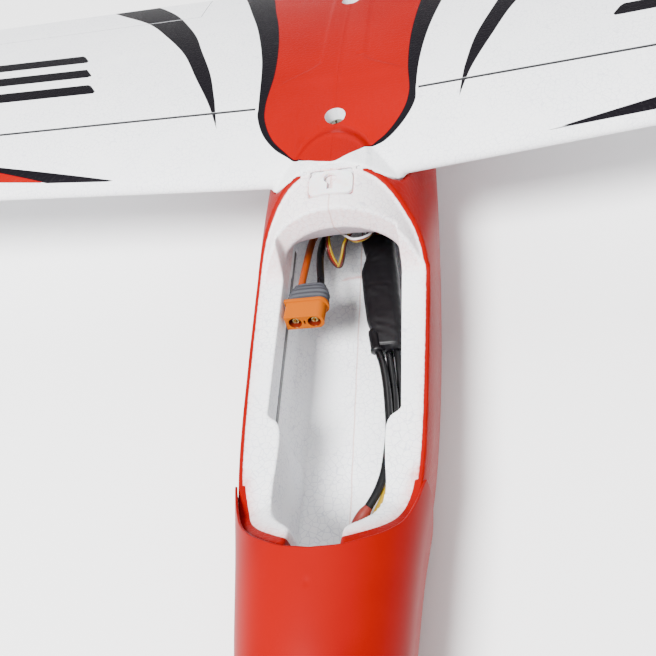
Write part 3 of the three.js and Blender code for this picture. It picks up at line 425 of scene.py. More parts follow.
class Look:
    """A Principled material that is put together from procedural nodes."""

    def __init__(self, name, color=(0.8, 0.8, 0.8), roughness=0.5, metallic=0.0, **sockets):
        self.material = bpy.data.materials.new(name)
        self.material.use_nodes = True
        self.nodes = self.material.node_tree.nodes
        self.links = self.material.node_tree.links
        self.bsdf = self.nodes["Principled BSDF"]
        self.set("Base Color", (*color, 1))
        self.set("Roughness", roughness)
        self.set("Metallic", metallic)
        for key, value in sockets.items():
            self.set(key.replace("_", " "), value)
        self.material.diffuse_color = (*color, 1)
        self.coord = self.node("ShaderNodeTexCoord").outputs["Object"]
        self.bumps = None

    def set(self, socket, value):
        self.bsdf.inputs[socket].default_value = value

    def node(self, kind, **inputs):
        made = self.nodes.new(kind)
        for key, value in inputs.items():
            self.feed(made.inputs[key.replace("_", " ")], value)
        return made

    def feed(self, socket, value):
        if isinstance(value, bpy.types.NodeSocket):
            self.links.new(value, socket)
        elif isinstance(value, (tuple, list)) and len(value) == 3 and socket.type == "RGBA":
            socket.default_value = (*value, 1)
        else:
            socket.default_value = value

    def math(self, operation, a, b=0.0, c=0.0):
        made = self.nodes.new("ShaderNodeMath")
        made.operation = operation
        for socket, value in zip(made.inputs, (a, b, c)):
            self.feed(socket, value)
        return made.outputs[0]

    def ramp(self, value, low, high, a=0.0, b=1.0):
        made = self.nodes.new("ShaderNodeMapRange")
        made.interpolation_type = "SMOOTHSTEP"
        for key, given in (("Value", value), ("From Min", low), ("From Max", high),
                           ("To Min", a), ("To Max", b)):
            self.feed(made.inputs[key], given)
        return made.outputs[0]

    def mix(self, factor, a, b):
        made = self.nodes.new("ShaderNodeMix")
        made.data_type = "RGBA"
        self.feed(made.inputs[0], factor)
        self.feed(made.inputs[6], a)
        self.feed(made.inputs[7], b)
        return made.outputs[2]

    def stretched(self, scale):
        made = self.nodes.new("ShaderNodeMapping")
        self.links.new(self.coord, made.inputs["Vector"])
        made.inputs["Scale"].default_value = scale
        return made.outputs["Vector"]

    def noise(self, scale, detail=3.0, roughness=0.55, vector=None, distortion=0.0):
        made = self.node("ShaderNodeTexNoise", Scale=scale, Detail=detail, Roughness=roughness,
                         Distortion=distortion)
        self.links.new(vector or self.coord, made.inputs["Vector"])
        return made.outputs["Fac"]

    def cells(self, scale, vector):
        made = self.nodes.new("ShaderNodeTexVoronoi")
        made.feature = "DISTANCE_TO_EDGE"
        made.inputs["Scale"].default_value = scale
        self.links.new(vector, made.inputs["Vector"])
        return made.outputs["Distance"]

    def attribute(self, name):
        made = self.nodes.new("ShaderNodeAttribute")
        made.attribute_name = name
        return made.outputs["Fac"]

    def bump(self, height, strength=0.5, distance=0.0003):
        made = self.node("ShaderNodeBump", Strength=strength, Distance=distance, Height=height)
        if self.bumps is not None:
            self.links.new(self.bumps, made.inputs["Normal"])
        self.bumps = made.outputs["Normal"]
        self.links.new(self.bumps, self.bsdf.inputs["Normal"])

    def color(self, value):
        self.feed(self.bsdf.inputs["Base Color"], value)

    def roughness(self, value):
        self.feed(self.bsdf.inputs["Roughness"], value)

    def grain(self, scale, strength, distance, detail=2.0):
        """A fine bump all over."""
        self.bump(self.noise(scale, detail), strength, distance)
        return self

    def worn(self, scale, low, high, detail=3.0):
        """Roughness that varies in patches."""
        self.roughness(self.ramp(self.noise(scale, detail), 0.3, 0.7, low, high))
        return self

    def two_tone(self, pattern, low, high, a, b):
        """Two colours, divided where a pattern passes from low to high."""
        self.color(self.mix(self.ramp(pattern, low, high), a, b))
        return self


WHITE = (0.87, 0.875, 0.89)
RED = (0.19, 0.0004, 0.0002)
RED_BRIGHT = (0.23, 0.0008, 0.0002)
CHARCOAL = (0.0035, 0.003, 0.0045)
PINK = (0.66, 0.15, 0.12)


def beads(look, scale, edge=0.07):
    """The outlines of the foam beads: 1 on a cell's outline and 0 inside it."""
    wobble = look.noise(90.0, 2.0)
    shifted = look.node("ShaderNodeVectorMath")
    shifted.operation = "ADD"
    look.links.new(look.coord, shifted.inputs[0])
    look.links.new(look.math("MULTIPLY", wobble, 0.0022), shifted.inputs[1])
    return look.ramp(look.cells(scale, shifted.outputs[0]), 0.0, edge, 1.0, 0.0)


def foam_color(look, scale, strength):
    """White bead foam with faint cell outlines and a mottled tone."""
    lines = beads(look, scale)
    patches = look.noise(28.0, 4.0)
    gate = look.ramp(look.noise(45.0, 2.0), 0.25, 0.55)
    tone = look.mix(look.ramp(patches, 0.3, 0.7), WHITE, (0.83, 0.84, 0.865))
    faint = look.math("MULTIPLY", look.math("MULTIPLY", lines, gate), strength)
    look.bump(look.math("SUBTRACT", 1.0, lines), 0.4, 0.00012)
    look.grain(900.0, 0.08, 0.00008)
    return look.mix(faint, tone, (0.56, 0.57, 0.64))


def red_color(look):
    return look.mix(look.ramp(look.noise(18.0, 3.0), 0.3, 0.75), RED, RED_BRIGHT)


def body_look():
    """Foam mouldings, painted red outside; white, with some overspray, inside, and with painted shade
    on the tunnel's downward-facing ceiling.
    """
    look = Look("foam_body", WHITE, 0.5, Subsurface_Weight=0.06, Subsurface_Scale=0.002,
                Specular_IOR_Level=0.22)
    foam = foam_color(look, 360.0, 0.75)
    depth = look.attribute("depth")
    rag = look.math("MULTIPLY", look.math("SUBTRACT", look.noise(520.0, 3.0), 0.5), 0.5)
    edge = look.math("ADD", depth, rag)
    painted = look.ramp(edge, 1.35, 1.85, 1.0, 0.0)
    spray = look.attribute("spray")
    speck = look.ramp(look.noise(650.0, 3.0), 0.25, 0.8)
    mist = look.math("MULTIPLY", spray, look.math("ADD", 0.55, look.math("MULTIPLY", speck, 0.75)))
    misted = look.mix(mist, foam, PINK)
    # Painted shade: the tunnel's downward-facing ceiling is darkened towards mauve, with a speckled
    # strength.
    painted_shade = look.math("MULTIPLY", look.attribute("ceiling"), look.ramp(speck, 0.0, 1.0, 0.42, 0.62))
    misted = look.mix(painted_shade, misted, (0.44, 0.37, 0.42))
    solid = look.attribute("solid")
    all_red = look.math("MAXIMUM", painted, look.ramp(
        look.math("ADD", solid, look.math("MULTIPLY", rag, 0.18)), 0.45, 0.6))
    across = look.node("ShaderNodeSeparateXYZ", Vector=look.coord).outputs["X"]
    drift = look.math("MULTIPLY", look.math("SUBTRACT", look.noise(60.0, 2.0), 0.5), 0.0012)
    off_centre = look.math("ABSOLUTE", look.math("ADD", across, drift))
    seam = look.ramp(off_centre, 0.0001, 0.0005, 1.0, 0.0)
    look.bump(look.math("SUBTRACT", 1.0, seam), 0.5, 0.0003)
    seamed = look.mix(look.math("MULTIPLY", seam, 0.6), misted, (0.60, 0.34, 0.30))
    look.color(look.mix(all_red, seamed, red_color(look)))
    look.roughness(look.ramp(all_red, 0.0, 1.0, 0.62, 0.36))
    look.feed(look.bsdf.inputs["Specular IOR Level"], look.ramp(all_red, 0.0, 1.0, 0.3, 0.04))
    return look


def wing_look():
    """White foam wing with red and charcoal artwork, given by distances in the attributes, and painted
    shade inside the spar slot.
    """
    look = Look("foam_wing", WHITE, 0.5, Specular_IOR_Level=0.22)
    foam = foam_color(look, 460.0, 0.6)
    black = look.ramp(look.attribute("black"), -0.12, 0.12, 1.0, 0.0)
    red = look.ramp(look.attribute("red"), -0.12, 0.12, 1.0, 0.0)
    # Painted shade: the inside of the spar slot is coloured near black.
    groove_shade = look.ramp(look.attribute("groove_shade"), 0.0, 0.15)
    foam = look.mix(groove_shade, foam, (0.05, 0.05, 0.055))
    inked = look.mix(black, foam, look.mix(look.noise(30.0), CHARCOAL, (0.006, 0.005, 0.007)))
    reds = look.mix(look.ramp(look.noise(16.0, 2.0), 0.3, 0.7), RED_BRIGHT,
                    (0.26, 0.0008, 0.0002))
    look.color(look.mix(red, inked, reds))
    film = look.math("MAXIMUM", black, red)
    look.roughness(look.ramp(film, 0.0, 1.0, 0.6, 0.34))
    look.feed(look.bsdf.inputs["Specular IOR Level"], look.ramp(film, 0.0, 1.0, 0.25, 0.04))
    look.bump(film, 0.4, 0.00008)
    return look


body_paint = body_look()
wing_paint = wing_look()
foam = Look("foam_fine", WHITE, 0.62, Subsurface_Weight=0.12, Subsurface_Scale=0.003,
            Specular_IOR_Level=0.35)
foam.color(foam_color(foam, 650.0, 0.25))

cowl_look = Look("cowl_shell", RED, 0.44, Specular_IOR_Level=0.06)
cowl_look.color(red_color(cowl_look))
cowl_look.grain(60.0, 0.06, 0.0004, 3.0).grain(1200.0, 0.05, 0.00005)

shrink = Look("heat_shrink", (0.0025, 0.002, 0.0028), 0.33, Specular_IOR_Level=0.3)
shrink.worn(120.0, 0.36, 0.5, 4.0)
shrink.bump(shrink.noise(260.0, 4.0, vector=shrink.stretched((1.0, 0.35, 1.0))), 0.12, 0.0003)
shrink.grain(2600.0, 0.10, 0.00004)

ORANGE_RUBBER = (0.27, 0.04, 0.0002)
silicone_orange = Look("silicone_orange", ORANGE_RUBBER, 0.33)
silicone_orange.two_tone(silicone_orange.noise(300.0, 3.0), 0.62, 0.68, ORANGE_RUBBER,
                         (0.12, 0.015, 0.001))
silicone_black = Look("silicone_black", (0.0015, 0.0015, 0.002), 0.3, Specular_IOR_Level=0.35)
silicone_black.worn(120.0, 0.27, 0.33, 2.0)

carbon = Look("carbon_fibre", (0.018, 0.018, 0.020), 0.30)
carbon.two_tone(carbon.noise(700.0, 2.0, vector=carbon.stretched((1, 0.04, 1))), 0.35, 0.65,
                (0.012, 0.012, 0.013), (0.035, 0.035, 0.038))
ply = Look("plywood", (0.55, 0.36, 0.18), 0.6)
ply.two_tone(ply.noise(160.0, 4.0, vector=ply.stretched((1, 0.08, 1))), 0.35, 0.65,
             (0.60, 0.41, 0.22), (0.42, 0.26, 0.12))


def plastic(name, color, roughness, scale, strength, distance=0.00005, **sockets):
    """A moulded material with a fine grain."""
    return Look(name, color, roughness, **sockets).grain(scale, strength, distance)


def metal(name, color, roughness, scale, low, high):
    """A bare metal, brighter and duller in patches."""
    return Look(name, color, roughness, 1.0).worn(scale, low, high)


gloss_black = plastic("gloss_black", (0.012, 0.012, 0.014), 0.16, 50.0, 0.06, 0.0003,
                      Coat_Weight=0.4)
nylon_black = plastic("nylon_black", (0.02, 0.02, 0.022), 0.38, 1500.0, 0.15)
connector_look = plastic("connector_orange", (0.33, 0.072, 0.0), 0.36, 1400.0, 0.08, 0.00004,
                         Specular_IOR_Level=0.05)
# Painted shade: a darker red for the inside of the sockets and the slit between them.
socket_shade_look = plastic("socket_painted_shade", (0.11, 0.008, 0.002), 0.35, 1400.0, 0.08, 0.00004)
boot_look = plastic("boot_grey", (0.036, 0.038, 0.046), 0.52, 1600.0, 0.15)
white_nylon = plastic("white_nylon", (0.82, 0.83, 0.85), 0.38, 1500.0, 0.1, 0.00004,
                      Subsurface_Weight=0.1, Subsurface_Scale=0.001)
servo_blue = plastic("servo_blue", (0.015, 0.032, 0.13), 0.25, 900.0, 0.08)
charcoal_plastic = plastic("charcoal_plastic", (0.045, 0.045, 0.05), 0.5, 1500.0, 0.2)
gold = metal("gold_contact", (0.93, 0.68, 0.28), 0.22, 900.0, 0.16, 0.34)
steel = metal("steel", (0.62, 0.62, 0.60), 0.26, 800.0, 0.18, 0.4)
dark_steel = metal("dark_steel", (0.20, 0.185, 0.15), 0.3, 800.0, 0.22, 0.42)
alloy = metal("alloy", (0.42, 0.43, 0.46), 0.32, 700.0, 0.26, 0.42)


def finish(obj, looks, body, *nodes, slot=None):
    """Gives a piece its materials and its body, and hides the CAD nodes that it stands for."""
    obj.data.materials.clear()
    for look in looks if isinstance(looks, tuple) else (looks,):
        obj.data.materials.append(look.material)
    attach(obj, body)
    if nodes:
        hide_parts(*nodes)
    return obj


def second_look(obj, chosen):
    """Gives the faces whose points are all chosen the object's second material."""
    for face in obj.data.polygons:
        if all(chosen[v] for v in face.vertices):
            face.material_index = 1


# ------------------------ camera

camera_data = bpy.data.cameras.new("camera")
camera_data.lens = 44.13
camera_data.sensor_width = 36
camera_data.clip_start = 0.01
camera_data.clip_end = 20
camera = bpy.data.objects.new("camera", camera_data)
camera.location = (0.065757, -0.448148, 0.326355)
camera.rotation_euler = (0.638559, 0.213135, 0.060011)
bpy.context.scene.collection.objects.link(camera)
bpy.context.scene.camera = camera

# ------------------------ cords

# Centre lines as in the CAD, each from the speed controller (or the tunnel roof) outwards.
POSITIVE = [
    (14, -23.6, -62.6), (13.4, -14, -62.6), (9.6, -6.6, -62.4), (2.6, -2.6, -61.4),
    (-5.6, -3.6, -59.4), (-12.8, -11, -56), (-17.2, -21, -52), (-19.4, -32, -47.8),
    (-19.8, -42, -44.8), (-20.1, -53, -42.6), (-20.5, -64, -40.8), (-20.6, -68.2, -40.3)]
NEGATIVE = [
    (6.6, -23.6, -62.6), (6.2, -17.6, -62.6), (3.4, -12.8, -62), (-1.4, -12, -60.2),
    (-6.8, -15.6, -57), (-11.2, -23, -52.8), (-13.4, -32, -48), (-13.9, -42, -44.6),
    (-13.2, -53, -42.2), (-11.7, -64, -40.5), (-11.4, -68.3, -40)]
THROTTLE = [
    (10.4, -23.3, -58.6), (10.3, -19, -57), (9.2, -16, -52.6), (7, -18.4, -48.6),
    (4.8, -24, -45.6), (1, -34, -42.2), (-1.8, -42.4, -41.6), (-3.6, -46.2, -46.6),
    (-6.4, -47, -52), (-8.8, -46, -47.2), (-10, -42.2, -42), (-10.4, -33, -41.6),
    (-10, -20, -44.6), (-8, -6, -49), (-5, 4, -52), (-4, 11.6, -53)]
AILERON_LEAD = [
    (12.4, -32.4, -37.8), (12.2, -36.4, -38.8), (11, -41, -38), (8.6, -45.4, -35.6),
    (4.8, -46.8, -34.8), (1.4, -43.8, -36.2), (-2.8, -37, -38.4), (-5, -26, -39.6),
    (-4, -12, -42.4), (-0.6, 0, -46.4), (2, 11.6, -49)]
MOTOR_LEADS = {
    "motor_lead_a": [
        (12.2, -91.5, -61.8), (14.2, -98, -61.7), (16, -108, -61.5), (17.2, -120, -61.4),
        (17.8, -132, -61.8), (17, -143, -62.3), (15.6, -152, -63), (12.8, -159.5, -64),
        (9.2, -165.5, -65), (5, -171.5, -66), (3.4, -180, -64.4), (4, -190, -58.6),
        (5, -205, -51.6), (5.7, -226, -47.4), (5.6, -244.6, -46.6)],
    "motor_lead_b": [
        (16.8, -91.5, -63.2), (18, -101, -63.8), (19.2, -112, -64.6), (19.6, -122, -65.2),
        (19.6, -134, -65.6), (18.6, -145, -66), (17.8, -154, -66.4), (15.8, -161.5, -66.8),
        (13.2, -167.5, -67.2), (10.5, -175, -67.4), (8, -186, -67), (3, -200, -64),
        (-2, -215, -58), (-5, -230, -51), (-5.6, -244.6, -47)],
    "motor_lead_c": [
        (21, -91.5, -62.4), (21.6, -99, -63.8), (22, -108, -66.4), (21.4, -117, -68.8),
        (20.6, -126, -69.7), (19.4, -134, -69.9), (18.6, -146, -70.1), (18.6, -158, -70.4),
        (17, -170, -70.3), (12.4, -184, -69), (8.2, -198, -65.2), (3.2, -212, -60.4),
        (0.6, -230, -57.4), (0, -244.6, -56.8)]}


def frames_along(path):
    """Unit vectors along, across and up a path, turning as little as they can."""
    tangent = np.gradient(path, axis=0)
    tangent /= np.linalg.norm(tangent, axis=1)[:, None]
    side = np.cross(tangent[0], [0, 0, 1.0])
    side /= np.linalg.norm(side)
    sides = []
    for t in tangent:
        side = side - t * side.dot(t)
        side /= np.linalg.norm(side)
        sides.append(side)
    sides = np.array(sides)
    return tangent, sides, np.cross(tangent, sides)


def tube(name, path, radius, sides=20):
    """A tube along a path; radius is one number or one for each point."""
    _, across, up = frames_along(path)
    r = np.broadcast_to(radius, len(path))[:, None, None]
    a = around(sides)
    ring = np.cos(a)[None, :, None] * across[:, None] + np.sin(a)[None, :, None] * up[:, None]
    return loft(name, path[:, None] + ring * r)


def declare(obj):
    """Returns the piece unchanged."""
    return obj


def wire(name, points, radius, look, node):
    path = spline(points, 1.2)
    obj = finish(tube(name, path, radius, 24), look, "airframe", node)
    return declare(obj)


STRAND, STRAND_PITCH = 0.56, 1.04


def ribbon(name, points, looks, node, turns):
    """Three thin wires side by side that twist along their way, as one piece."""
    path = spline(points, 0.8)
    _, across, up = frames_along(path)
    turn = np.interp(np.linspace(0, 1, len(path)), *zip(*turns))[:, None]
    flat = np.cos(turn) * across + np.sin(turn) * up
    obj = merge(name, [tube("strand", path + flat * off, STRAND, 12)
                       for off in (-STRAND_PITCH, 0.0, STRAND_PITCH)])
    finish(obj, looks, "airframe", node)
    faces = obj.data.polygons
    for face in faces:
        face.material_index = 3 * face.index // len(faces)
    return declare(obj)


def colored(name, color, roughness=0.35):
    return plastic(name, color, roughness, 1600.0, 0.08, 0.00004)


yellow_wire = colored("wire_yellow", (0.27, 0.17, 0.0005))
red_wire = colored("wire_red", (0.16, 0.003, 0.002))
brown_wire = colored("wire_brown", (0.020, 0.006, 0.003))
white_wire = colored("wire_white", (0.80, 0.80, 0.80))
sleeve_red = colored("sleeve_red", (0.17, 0.010, 0.004), 0.5)
sleeve_yellow = colored("sleeve_yellow", (0.27, 0.165, 0.0005), 0.45)
sleeve_blue = colored("sleeve_blue", (0.02, 0.06, 0.35), 0.45)

# ------------------------ battery connector

pitch, roll, yaw = (math.radians(v) for v in (-7.9, -2.0, -1.1))
CONNECTOR_TURN = np.array((Matrix.Rotation(yaw, 4, "Z") @ Matrix.Rotation(roll, 4, "Y")
                           @ Matrix.Rotation(pitch, 4, "X")).to_3x3())
CONNECTOR_AT = np.array([-16.2, -81.3, -38.2])
# Half the distance between the middles of the two sockets.
POLE = 4.35


def at_connector(obj):
    """Moves a piece made round the datum to the connector's place."""
    return set_points(obj, points_of(obj) @ CONNECTOR_TURN.T + CONNECTOR_AT)


def rounded(half_x, half_z, power, count=64):
    """A rectangle with rounded corners, rounder for a higher power."""
    a = around(count)
    c, s = np.cos(a), np.sin(a)
    return np.column_stack([half_x * np.sign(c) * np.abs(c) ** power,
                            half_z * np.sign(s) * np.abs(s) ** power])


def keyed_ring(y, half_x, half_z, radius):
    """A rectangle that is round on one side, as plugs of this kind are."""
    turn = np.linspace(-math.pi / 2, 0, 10)
    corner = np.column_stack([half_x - radius + radius * np.cos(turn),
                              -half_z + radius + radius * np.sin(turn)])
    pts = np.vstack([[(-half_x, -half_z)], corner, corner[::-1] * [1, -1], [(-half_x, half_z)]])
    return np.column_stack([pts[:, 0], np.full(len(pts), y), pts[:, 1]])


shell = loft("connector", [keyed_ring(y, 8.8, 3.8, 3.4) for y in (-9.3, 0.2)], smooth=False)
join(shell, loft("flange", [keyed_ring(y, 9.9, 4.7, 4.2) for y in (0.0, 1.6)], smooth=False))
pockets = [rod("pocket", (s * POLE, -10, 0), (s * POLE, -4.2, 0), 2.95, 40) for s in (-1, 1)]
cut(shell, *pockets, box("slit", -0.35, 0.35, -9.9, -7.6, -1.1, 1.1))
bevel(shell, 0.35)
q = points_of(shell)
# The faces inside the sockets and the slit get the darker red of painted shade.
in_socket = (np.hypot(np.abs(q[:, 0]) - POLE, q[:, 2]) < 2.98) | (np.abs(q[:, 0]) < 0.37)
finish(at_connector(shell), (connector_look, socket_shade_look), "airframe", "battery_connector",
       slot="orange_plastic")
second_look(shell, in_socket)

contacts = []
for at in (-POLE, POLE):
    contact = rod("contact", (at, -4.2, 0), (at, -7.9, 0), 1.75, 32,
                  [(0.0, 1.8), (0.86, 1.8), (1.0, 1.45)])
    cut(contact, rod("bore", (at, -5.4, 0), (at, -9.0, 0), 0.95, 24),
        box("slot", at - 2.2, at + 2.2, -8.6, -5.4, -0.22, 0.22),
        box("slot", at - 0.22, at + 0.22, -8.6, -5.4, -2.2, 2.2))
    contacts.append(sharpen(contact, 40))
contact_piece = finish(at_connector(merge("connector_contacts", contacts)), gold, "airframe")

BOOT_START, BOOT_LENGTH, BOOT_RIBS = 1.95, 10.85, 4.2
ribs = []
for t in np.linspace(0, 1, 110):
    taper = 1 - 0.2 * smoothstep(0.5, 1.0, t)
    wave = 0.34 * (0.5 - 0.5 * math.cos(2 * math.pi * BOOT_RIBS * t)) if t < 0.93 else 0.25
    end = 0.35 * float(smoothstep(0.96, 1.0, t))
    flat = rounded(9.4 * taper - wave - end, 4.5 * taper - wave - end, 0.62)
    ribs.append([(x, BOOT_START + BOOT_LENGTH * t, z) for x, z in flat])
boot = sharpen(at_connector(loft("connector_boot_ribbed", ribs)), 50)
finish(boot, boot_look, "airframe", "connector_boot", slot="grey_rubber")

wire("lead_positive", POSITIVE, 1.75, silicone_orange, "battery_lead_positive")
wire("lead_negative", NEGATIVE, 1.75, silicone_black, "battery_lead_negative")
ribbon("lead_throttle", THROTTLE, (brown_wire, red_wire, yellow_wire), "throttle_lead",
       [(0, 0.0), (0.35, 0.9), (0.5, 1.9), (0.75, 0.8), (1, 0.0)])
ribbon("lead_aileron", AILERON_LEAD, (white_wire, red_wire, yellow_wire), "aileron_lead",
       [(0, 1.2), (0.3, 1.0), (1, 0.0)])
# The coloured sleeve on each motor lead: its look, where it starts and ends, and its radius.
SLEEVES = {"motor_lead_a": (sleeve_red, -165.0, -188.0, 2.5),
           "motor_lead_b": (sleeve_yellow, -155.5, -184.0, 2.5),
           "motor_lead_c": (sleeve_blue, -150.0, -178.0, 2.3)}
for name, points in MOTOR_LEADS.items():
    look, start, stop, radius = SLEEVES[name]
    path = spline(points, 0.8)
    part = path[(path[:, 1] < start) & (path[:, 1] > stop)]
    share = np.linspace(0, 1, len(part))
    swell = 1.9 + (radius - 1.9) * smoothstep(0, 0.12, share) * (1 - smoothstep(0.88, 1, share))
    crimp = 0.12 * np.sin(share * 40.0) * smoothstep(0.5, 0.7, share)
    sleeve = finish(tube(name + "_sleeve", part, swell + crimp, 28), look, "airframe")
    wire(name + "_wire", points, 1.8, silicone_black, name)

# ------------------------ speed controller

# Rows of y, middle in x, half width and half height of the sleeve.
CONTROLLER = np.array([
    (-24, 10.3, 8.4, 6), (-30, 11.2, 8, 7), (-36.5, 12.6, 7.6, 7.2), (-46, 12.2, 9.6, 7.5),
    (-60, 13.4, 9.3, 7.5), (-75, 15, 8.8, 7.2), (-81.5, 16.4, 7.6, 6.8), (-91, 17, 6.8, 6.2)],
    float)
CONTROLLER_Z = -62.6


def square(v):
    return np.sign(v) * np.abs(v) ** 0.6


along = np.linspace(-24, -91, 260)
a = around(160)
kernel = np.hanning(15) / np.hanning(15).sum()
offset, wide, high = (np.convolve(np.pad(np.interp(-along, -CONTROLLER[:, 0], column), 7, mode="edge"),
                                  kernel, mode="valid")[:, None] for column in CONTROLLER.T[1:])
ex, ez = wide * square(np.cos(a)), high * square(np.sin(a))
Y = np.repeat(along[:, None], len(a), axis=1)
U = np.clip(ex / wide, -1, 1)
top = np.clip(np.sin(a), 0, 1) ** 0.5

def bumpy(y, u, y0, u0, wide_y, wide_u, high):
    """A component that shows through the sleeve."""
    inside = (1 - smoothstep(0.75, 1.15, np.abs(y - y0) / wide_y)) * (
        1 - smoothstep(0.75, 1.15, np.abs(u - u0) / wide_u))
    return high * inside


relief = top * (bumpy(Y, U, -50, 0.15, 7, 0.55, 0.14) + bumpy(Y, U, -63, -0.1, 6, 0.6, 0.12)
                + bumpy(Y, U, -75, 0.2, 5, 0.4, 0.08))
wrinkle = (0.11 * np.sin(Y * 0.9 + 4.5 * U + 1.6 * np.sin(Y * 0.23)) * np.exp(-((Y + 82) / 6) ** 2)
           + 0.12 * np.sin(Y * 1.1 - 5.5 * U) * np.exp(-((Y + 36) / 5) ** 2)
           + 0.05 * np.sin(Y * 0.55 + 7 * U + 2 * np.sin(0.31 * Y)) * np.exp(-((Y + 60) / 18) ** 2)
           + 0.02 * np.sin(1.7 * Y + 3 * U * U))
shape = relief + wrinkle * (0.35 + 0.65 * top) - 0.35
nx, nz = np.cos(a), np.sin(a)
X = np.maximum(offset + ex + shape * nx, np.interp(Y, [-91, -84, -79], [13.4, 12.4, 0.0]))
Z = CONTROLLER_Z + ez + shape * nz
lip = smoothstep(-89.6, -90.8, Y) * 0.4
controller = loft("controller_sleeve", np.stack([X - lip * nx, Y, Z - lip * nz], axis=-1))
finish(controller, shrink, "airframe", "speed_controller", slot="heat_shrink")
collar = rod("controller_collar", (10.0, -80.0, -60.4), (12.0, -92.0, -61.7), 3.0, 40, [
    (0.0, 1.8), (0.08, 2.7), (0.2, 2.95), (0.84, 2.95), (0.87, 3.2), (0.97, 3.2), (1.0, 2.8)])
finish(collar, shrink, "airframe")

# ------------------------ fuselage

# Side views (y, z) of the seat that the hatch closes on: its ramp in front, and the step and
# the dished rim behind. BAY_PLAN is half of the bay's outline (x, y) from above.
RAMP = np.array([(-202.6, -12), (-197.5, -14.6), (-190, -19.8), (-182, -26), (-175, -30.6),
                 (-169, RAIL_Z)], float)
REAR_STEP = [(-69, RAIL_Z), (-66.6, -28.7), (-60, -9.6), (-59.3, -0.3)]
REAR_RIM = [(-34, 2.6), (-36, -0.8), (-38, -4.2), (-42.6, -9.4), (-48.5, -15.2), (-54.2, -21.6),
            (-60.6, -26.8), (-69, -30.4), (-80, RAIL_Z)]
BAY_PLAN = [(26.9, -58), (26.9, -139), (21.8, -144), (21, -177), (17.5, -185.5), (11.5, -191),
            (9, -193.4)]


def seat_height(x, y):
    """Height of the seat, which bows forwards away from the middle."""
    s = y + 0.008 * x * x
    z = np.interp(s, RAMP[:, 0], RAMP[:, 1])
    return np.where(s < RAMP[0, 0], RAMP[0, 1] + (RAMP[0, 0] - s) * 6, z)


def seat_cutter():
    """What the hatch takes out of the fuselage."""
    xs = np.linspace(-48, 48, 97)
    high = np.full(97, ABOVE)
    rings = [np.column_stack([np.concatenate([xs, xs[::-1]]), np.full(194, y),
                              np.concatenate([seat_height(xs, y), high])])
             for y in [*np.linspace(-206, -166, 56), -69]]
    front = loft("seat", rings)
    step = spline(REAR_STEP, 0.7)
    rear = along_x("step", [(-69.5, ABOVE), (-69.5, RAIL_Z), *step, (-59, ABOVE)], -48, 48)
    rim = spline(REAR_RIM, 0.7)
    lip = cut(along_x("lip", [(-80, ABOVE), *rim[::-1], (-34, ABOVE)], -48, 48),
              skin("lip_floor", -90, -20, -LIP_DEPTH))
    common(lip, box("limit", -48, 48, -69.2, -33, RAIL_Z, ABOVE))
    return join(front, rear, lip)


def bay_cutter():
    """The battery bay, with the notch for the hatch's tongue in front."""
    right = np.vstack([BAY_PLAN[:1], spline(BAY_PLAN[1:], 0.8)])
    bay = along_z("bay", np.vstack([right, (right * [-1, 1])[::-1]]), BAY_FLOOR, ABOVE)
    section = [(-28, ABOVE), (-28, -60), (-21, BAY_FLOOR), (21, BAY_FLOOR), (28, -60), (28, ABOVE)]
    common(bay, loft("walls", [[(x, y, z) for x, z in section] for y in (-200, -50)], smooth=False))
    return join(bay, box("notch", -9.4, 9.4, -207, -185, -42, ABOVE))


def tunnel_cutter():
    """The arched way under the wing, from sections of y, crown, springing, half width and floor."""
    t = np.linspace(0, math.pi, 49)

    def arch(y, crown, spring, half, floor):
        over = np.column_stack([half * np.cos(t), np.full(49, y),
                                spring + (crown - spring) * np.abs(np.sin(t)) ** 1.1])
        under = [(-half, y, -60), (-half + 7, y, floor), (half - 7, y, floor), (half, y, -60)]
        return np.vstack([over, under])

    sections = [(-69.5, -7, RAIL_Z - 2, 26.2, BAY_FLOOR), (-60.2, -10, RAIL_Z - 2, 26.5, BAY_FLOOR),
                (-48.8, -27.3, -34, 26.5, BAY_FLOOR), (-42, -35, -40, 26.5, BAY_FLOOR),
                (40, -36, -41, 25, BAY_FLOOR + 2), (78, -38, -43, 20, BAY_FLOOR + 4)]
    return loft("tunnel", [arch(*row) for row in sections])


ROOT_NOSE = [(-33.4, ABOVE), (-33.4, 3), (-36.2, -4.5), (-36.2, -9.5), (-34.4, -13.2), (-31, -16.1),
             (-24, -19.3)]


def root_outline(y1, grow):
    """Side view (y, z) of the wing's root below its skin, open upwards."""
    front = [(y - grow, z - (grow if z < 0 else 0)) for y, z in ROOT_NOSE]
    ys = np.linspace(-15, y1, 60)
    under = np.column_stack([ys, wing_z(np.zeros(60), ys, -1) - grow])
    return np.vstack([front, under, [(y1, ABOVE)]])


def saddle_cutter():
    """What the wing's root takes out of the fuselage."""
    outline = root_outline(ROOT_TE + 1, GAP)
    return join(along_x("saddle", outline, -0.01, 60, DIHEDRAL),
                along_x("saddle_right", outline, -60, 0.01, DIHEDRAL))

